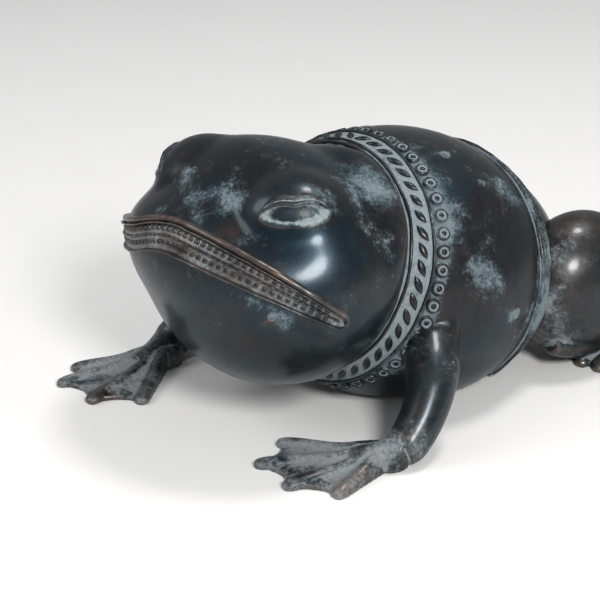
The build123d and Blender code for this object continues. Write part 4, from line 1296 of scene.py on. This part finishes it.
@dataclass
class Belt:
    """The belt before the haunches: a strap with one rail apart and four close rails."""

    strap_width: float = 13.0
    strap_height: float = 1.0
    rail_width: float = 1.5
    rail_height: float = 1.15
    rail_pitch: float = 2.3
    rail_inset: float = 0.1
    first_fine: float = 3.9
    fine_rails: int = 4

    def build(self, shop: Workshop, trunk: Trunk) -> None:
        """Build the strap and its rails."""
        banding = Banding(trunk, RUMP_CUT)
        strap = banding.strap(self.strap_width, 0.0, self.strap_height)
        shop.piece("belt_strap", skin(strap, loop=True), Finish.BELT, ("belt_band",), hollow=0.95)
        starts = [0.0] + [self.first_fine + self.rail_pitch * step for step in range(self.fine_rails)]
        for number, start in enumerate(starts, start=1):
            middle = self.strap_width - start - self.rail_width / 2.0 - self.rail_inset
            rings = banding.rail(middle, self.rail_width, self.strap_height, self.rail_height, 0.9 * number)
            shop.piece(
                f"belt_thread_{number}", skin(rings, loop=True), Finish.BELT, (f"belt_rail_{number}",),
                rounds=2, sharp=0.2, hollow=0.30,
            )


@dataclass
class Foot:
    """A broad webbed foot: its wrist, toe lengths and the turns of the toes inwards."""

    side: float
    wrist: Point
    lengths: tuple[float, ...]
    turns: tuple[float, ...]
    toe_half_width: float = 3.6
    tip_back: float = 2.0
    heel_radius: float = 8.5
    ankle_height: float = 11.0
    ankle_reach: float = 15.0
    web_height: float = 3.5
    edge_height: float = 1.9
    edge_power: int = 7
    ridge_height: float = 2.4
    ridge_half_width: float = 2.9
    ridge_start: Span = (3.0, 16.0)
    ridge_fall: float = 0.25
    scallop: float = 0.08
    around: int = 480

    def outline(self, turn: Array) -> Array:
        """How far the foot reaches from its wrist.

        Args:
            turn: turns inwards from straight ahead, in radians.

        Returns:
            The reach at each turn: toes, the scalloped web between them and the heel.
        """
        reach = np.full_like(turn, self.heel_radius)
        toes = np.radians(np.array(self.turns))
        for heading, length in zip(toes, self.lengths):
            run, off = length - self.tip_back, turn - heading
            aside = np.abs(run * np.sin(off))
            tip = run * np.cos(off) + np.sqrt(np.maximum(self.toe_half_width**2 - aside**2, 0.0))
            flank = self.toe_half_width / np.maximum(np.abs(np.sin(off)), 1e-6)
            toe = np.where(aside < self.toe_half_width, tip, flank)
            reach = np.where(np.cos(off) > 0.0, np.maximum(reach, toe), reach)
        ends = self.lengths
        for first, second, near, far in zip(toes[:-1], toes[1:], ends[:-1], ends[1:]):
            share = np.clip((turn - first) / (second - first), 0.0, 1.0)
            within = first + (second - first) * share
            spread = near * np.sin(within - first) + far * np.sin(second - within)
            chord = near * far * np.sin(second - first) / spread
            web = chord * (1.0 - self.scallop * np.sin(pi * share))
            reach = np.where((share > 0.0) & (share < 1.0), np.maximum(reach, web), reach)
        return reach

    def shape(self) -> Skin:
        """The foot as one skin: ridged toes joined by a web, on a flat sole."""
        turn = np.linspace(-pi, pi, self.around, endpoint=False)
        share = np.concatenate((np.linspace(0.02, 0.9, 24), (0.93, 0.955, 0.975, 0.99, 1.0)))[:, None]
        gone = share * self.outline(turn)
        rise = self.ankle_height - self.web_height
        level = self.web_height + rise * bell(gone, self.ankle_reach)
        crest = np.zeros_like(gone)
        for heading, length in zip(np.radians(np.array(self.turns)), self.lengths):
            aside, past = gone * np.sin(turn - heading), gone * np.cos(turn - heading)
            ridge = bell(aside, self.ridge_half_width) * smooth_step(past, *self.ridge_start)
            crest = np.maximum(crest, self.ridge_height * ridge * (1.0 - self.ridge_fall * past / length))
        level = self.edge_height + (level + crest - self.edge_height) * np.sqrt(1.0 - share**self.edge_power)
        under = np.array((1.0, 0.4))[:, None] * self.outline(turn)
        gone, level = np.concatenate((gone, under)), np.concatenate((level, np.zeros_like(under)))
        x = self.wrist[0] - self.side * gone * np.sin(turn)
        y = self.wrist[1] - gone * np.cos(turn)
        return skin(np.stack((x, y, level), -1))


def ball(middle: Array, half: Array) -> Skin:
    """A closed ellipsoid skin in world millimetres."""
    swing = np.linspace(-pi / 2.0 + 0.02, pi / 2.0 - 0.02, 40)[:, None]
    turn = full_turn(64)[None]
    parts = np.broadcast_arrays(np.cos(swing) * np.cos(turn), np.cos(swing) * np.sin(turn), np.sin(swing))
    return skin(middle + np.stack(parts, -1) * half)


def limb(points: Array, radii: Array) -> Skin:
    """A round tapering limb through points.

    Args:
        points: middle line.
        radii: radius at each point.

    Returns:
        The closed skin.
    """
    heading = unit(np.gradient(points, axis=0))
    first = unit(np.cross(heading, np.array((0.2, 0.9, 0.35))))
    second = np.cross(heading, first)
    turn = full_turn(40)
    swing = first[:, None] * np.cos(turn)[None, :, None] + second[:, None] * np.sin(turn)[None, :, None]
    return skin(points[:, None] + swing * radii[:, None, None])


def rub_down(points: Array, faces: Faces, share: Array, rounds: int) -> Array:
    """Smooth part of a skin, as a thumb does in wax.

    Args:
        points: the skin's points.
        faces: its four-sided faces.
        share: how much of the smoothing each point takes.
        rounds: how often it is smoothed.

    Returns:
        The smoother points.
    """
    corners = np.array(faces)
    ends = np.concatenate([corners[:, [side, (side + 1) % 4]] for side in range(4)])
    degree = np.bincount(ends[:, 0], minlength=len(points)).clip(1)
    for _ in range(rounds):
        sums = [np.bincount(ends[:, 0], points[ends[:, 1], axis], len(points)) for axis in range(3)]
        points = points + share[:, None] * (np.stack(sums, -1) / degree[:, None] - points)
    return points


@dataclass
class Foreleg:
    """A foreleg: a bent taper from the shoulder to a webbed foot."""

    word: str
    side: float
    knee: Point
    foot: Foot
    ankle_back: Point = (3.5, 7.0, 0.5)
    instep: float = 17.0
    instep_height: float = 4.0
    heel_bend: float = 7.0
    shoulder: Point = (43.0, -3.0, 66.0)
    shoulder_radius: float = 13.2
    ankle_radius: float = 9.6
    instep_radius: float = 5.0
    bulge: float = 0.05
    leg_steps: int = 40
    foot_steps: int = 12
    fillet: float = 3.5
    fillet_reach: float = 9.0
    seam: float = 0.3
    seam_reach: float = 1.5
    melt_levels: Span = (33.0, 61.0)
    collar_shifts: Span = (-25.0, -16.0)
    collar_depths: Span = (8.0, 16.0)
    rub_levels: Span = (30.0, 48.0)
    rub_rounds: int = 60
    crust: float = 0.42
    crust_levels: Span = (6.0, 24.0)
    voxel: float = 0.65
    calm_rounds: int = 4

    def path(self) -> tuple[Array, Array]:
        """The leg's middle line and its radii.

        Returns:
            Points and radii from the shoulder over the ankle to the root of the toes.
        """
        flip = flip_to(self.side)
        wrist = np.array(self.foot.wrist)
        start, pull = np.array(self.shoulder) * flip, np.array(self.knee) * flip
        ankle = wrist + np.array(self.ankle_back) * flip
        share = np.linspace(0.0, 1.0, self.leg_steps)[:, None]
        leg = bow(start, pull, ankle, share)
        turn = radians(sum(self.foot.turns) / len(self.foot.turns))
        inwards, forwards = self.side * self.instep * sin(turn), self.instep * cos(turn)
        toes = np.array((wrist[0] - inwards, wrist[1] - forwards, self.instep_height))
        bend = ankle + unit(ankle - pull) * self.heel_bend
        gone = np.linspace(0.1, 1.0, self.foot_steps)[:, None]
        foot = bow(ankle, bend, toes, gone)
        wide = self.shoulder_radius + (self.ankle_radius - self.shoulder_radius) * share[:, 0]
        wide = wide * (1.0 + self.bulge * np.sin(share[:, 0] * pi * 1.6 + 0.4))
        low = wide[-1] + (self.instep_radius - wide[-1]) * gone[:, 0]
        return np.concatenate((leg, foot)), np.concatenate((wide, low))

    def melt_root(self, points: Array) -> Array:
        """Let the leg run out onto the body in a soft hollow, as a joint in wax does.

        Args:
            points: the leg's skin, in world millimetres.

        Returns:
            The skin, flatter the higher it lies on the body and kept under the collar.
        """
        inner = to_trunk(points)
        depth = BODY_EGG.depth(inner) - wobble(inner, Trunk.unevenness)
        stays = 1.0 - smooth_step(points[:, 2], *self.melt_levels)
        height = np.where(depth > 0.0, depth * stays, depth)
        near = smooth_step(NECK_CUT.shift_of(inner), *self.collar_shifts)
        near = near * (1.0 - smooth_step(depth, *self.collar_depths))
        height = np.where(height > 0.0, height * (1.0 - near), height) - near
        fade = bell(height, self.fillet_reach)
        soft = np.sqrt(height**2 + self.fillet**2) - self.fillet * fade
        height = np.where(height > 0.0, soft, height)
        height = height - self.seam * bell(height, self.seam_reach)
        return to_world(inner + BODY_EGG.normals(inner) * (height - depth)[:, None])

    def build(self, shop: Workshop) -> None:
        """Build the leg as one cast piece, kept off the collar."""
        middle, radii = self.path()
        points, faces = shop.fused([limb(middle, radii), self.foot.shape()], self.voxel, self.calm_rounds)
        rubbed = smooth_step(points[:, 2], *self.rub_levels)
        points = rub_down(self.melt_root(points), faces, rubbed, self.rub_rounds)
        points[:, 2] = np.maximum(points[:, 2], 0.0)
        crust = self.crust * (1.0 - smooth_step(points[:, 2], *self.crust_levels))
        shop.piece(
            f"{self.word}_foreleg_cast", (points, faces), Finish.LEG, (f"{self.word}_foreleg",),
            rounds=8, sharp=0.35, hollow=crust,
        )


@dataclass
class HindLeg:
    """A folded hind leg: thigh, shank and a small webbed foot."""

    word: str
    side: float
    thigh: Point = (50.0, 89.5, 37.2)
    thigh_half: Point = (26.7, 35.6, 35.6)
    shank_start: Point = (57.5, 64.0, 15.0)
    shank_end: Point = (60.5, 110.0, 13.0)
    shank_radii: Span = (4.0, 6.5)
    wrist: Point = (58.0, 108.5, 8.5)
    ankle_half: Point = (9.0, 9.0, 8.4)
    toe_lengths: tuple[float, ...] = (25.0, 29.0, 30.0, 27.0)
    toe_turns: tuple[float, ...] = (10.0, -10.0, -30.0, -52.0)
    voxel: float = 0.9
    calm_rounds: int = 5

    def build(self, shop: Workshop) -> None:
        """Build the leg as one cast piece."""
        flip = flip_to(self.side)
        thigh = ball(np.array(self.thigh) * flip, np.array(self.thigh_half))
        share = np.linspace(0.0, 1.0, 24)[:, None]
        shank = np.array(self.shank_start) * (1.0 - share) + np.array(self.shank_end) * share
        thin, more = self.shank_radii
        radii = thin + more * np.sin(pi * np.clip(share[:, 0], 0.03, 0.97)) ** 0.5
        foot = Foot(self.side, tuple(np.array(self.wrist) * flip), self.toe_lengths, self.toe_turns)
        ankle = ball(np.array(foot.wrist), np.array(self.ankle_half))
        skins = [thigh, limb(shank * flip, radii), ankle, foot.shape()]
        points, faces = shop.fused(skins, self.voxel, self.calm_rounds)
        points[:, 2] = np.maximum(points[:, 2], 0.0)
        shop.piece(
            f"{self.word}_hind_leg_cast", (points, faces), Finish.LEG, (f"{self.word}_hind_leg",),
            rounds=10, sharp=0.4,
        )


@dataclass
class Studio:
    """Pale floor, soft lamps and the camera."""

    azimuth: float = radians(50.0)
    elevation: float = radians(22.0)
    distance: float = 0.760
    target: Point = (0.0, -0.010, 0.055)
    lens: float = 98.4
    sensor: float = 36.0
    clip: Span = (0.05, 20.0)
    shift: Span = (-52.0 / 600.0, -32.0 / 600.0)
    floor_size: float = 5.0
    floor_colour: Colour = (0.78, 0.77, 0.76)
    sky_colour: Colour = (0.80, 0.81, 0.83)
    sky_strength: float = 0.45
    lamps: tuple[tuple[str, float, float, float, float, float], ...] = (
        ("key", 71.0, 33.0, 1.3, 0.36, 15.0),
        ("fill", -30.0, 40.0, 1.8, 1.0, 10.0),
        ("top", 170.0, 72.0, 1.4, 0.30, 8.0),
    )

    def aim(self, made: bpy.types.Object, azimuth: float, elevation: float, gap: float) -> None:
        """Move an object out from the frog and turn it to face the frog.

        Args:
            made: the object.
            azimuth: where it stands, in radians.
            elevation: how high it stands, in radians.
            gap: distance from the frog.
        """
        out = Vector((sin(azimuth) * cos(elevation), -cos(azimuth) * cos(elevation), sin(elevation)))
        turn = out.to_track_quat("Z", "Y").to_matrix().to_4x4()
        made.matrix_world = Matrix.Translation(Vector(self.target) + out * gap) @ turn

    def camera(self) -> None:
        """Put the camera at the photograph's angle."""
        data = bpy.data.cameras.new("camera")
        data.sensor_width = self.sensor
        data.lens = self.lens
        data.shift_x, data.shift_y = self.shift
        data.clip_start, data.clip_end = self.clip
        camera = add("camera", data)
        self.aim(camera, self.azimuth, self.elevation, self.distance)
        bpy.context.scene.camera = camera

    def lamp(
        self, name: str, azimuth: float, elevation: float, gap: float, size: float, power: float
    ) -> None:
        """Add one soft lamp that faces the frog.

        Args:
            name: the lamp's name.
            azimuth: where it stands, in degrees.
            elevation: how high it stands, in degrees.
            gap: distance from the frog.
            size: side of its face.
            power: its power in watts.
        """
        data = bpy.data.lights.new(name, "AREA")
        data.shape, data.size, data.energy = "DISK", size, power
        self.aim(add(name, data), radians(azimuth), radians(elevation), gap)

    def floor(self) -> None:
        """Lay the pale floor."""
        mesh = bpy.data.meshes.new("floor")
        half = self.floor_size / 2.0
        corners = [(-half, -half, 0.0), (half, -half, 0.0), (half, half, 0.0), (-half, half, 0.0)]
        mesh.from_pydata(corners, [], [(0, 1, 2, 3)])
        made = Shader("pale_floor")
        grain = made.noise(30.0, 4.0, 0.5, 0.0)
        shade = made.mix(grain, self.floor_colour, tuple(0.97 * part for part in self.floor_colour))
        surface = made.node("ShaderNodeBsdfPrincipled", {}, {"Base Color": shade, "Roughness": 0.85})
        made.node("ShaderNodeOutputMaterial", {}, {"Surface": surface})
        mesh.materials.append(made.material)
        add("floor", mesh)

    def build(self) -> None:
        """Set up the whole studio."""
        scene = bpy.context.scene
        scene.view_settings.view_transform = "Standard"
        world = bpy.data.worlds.new("studio")
        world.use_nodes = True
        sky = world.node_tree.nodes["Background"].inputs
        sky["Color"].default_value = (*self.sky_colour, 1.0)
        sky["Strength"].default_value = self.sky_strength
        scene.world = world
        self.floor()
        for row in self.lamps:
            self.lamp(*row)
        self.camera()


SIDES = ((1.0, "left"), (-1.0, "right"))
SEED = 11
INNER_NODES = ("neck_pins", "rump_pins", "foreleg_cotters", "hind_leg_cotters", "belly_plate", "belly_rivets")


def main() -> None:
    """Build the studio and every piece of the frog, and log each piece's face count."""
    logging.basicConfig(level=logging.INFO, format="%(name)s: %(message)s")
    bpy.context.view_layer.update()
    rng = np.random.default_rng(SEED)
    Studio().build()
    shop = Workshop()
    head, trunk = Head(), Trunk()
    head.build(shop)
    trunk.build(shop, head)
    for side, word in SIDES:
        Eye(side, word).build(shop, head)
    Mouth().build(shop, head, rng)
    Collar().build(shop, trunk, rng)
    Belt().build(shop, trunk)
    left_foot = Foot(1.0, (77.0, -54.0, 8.5), (50.0, 56.0, 48.0, 36.0), (60.0, 38.0, 14.0, -12.0))
    right_foot = Foot(-1.0, (-69.0, -70.17, 8.5), (45.0, 53.0, 53.0, 43.5), (42.0, 16.0, -11.0, -28.0))
    Foreleg("left", 1.0, (80.0, -22.5, 28.0), left_foot).build(shop)
    Foreleg("right", -1.0, (80.0, -24.5, 28.0), right_foot).build(shop)
    for side, word in SIDES:
        HindLeg(word, side).build(shop)
    for node in INNER_NODES:
        shop.dress_node(node, Finish.PLAIN)
    bpy.context.view_layer.update()


if __name__ == "__main__":
    main()
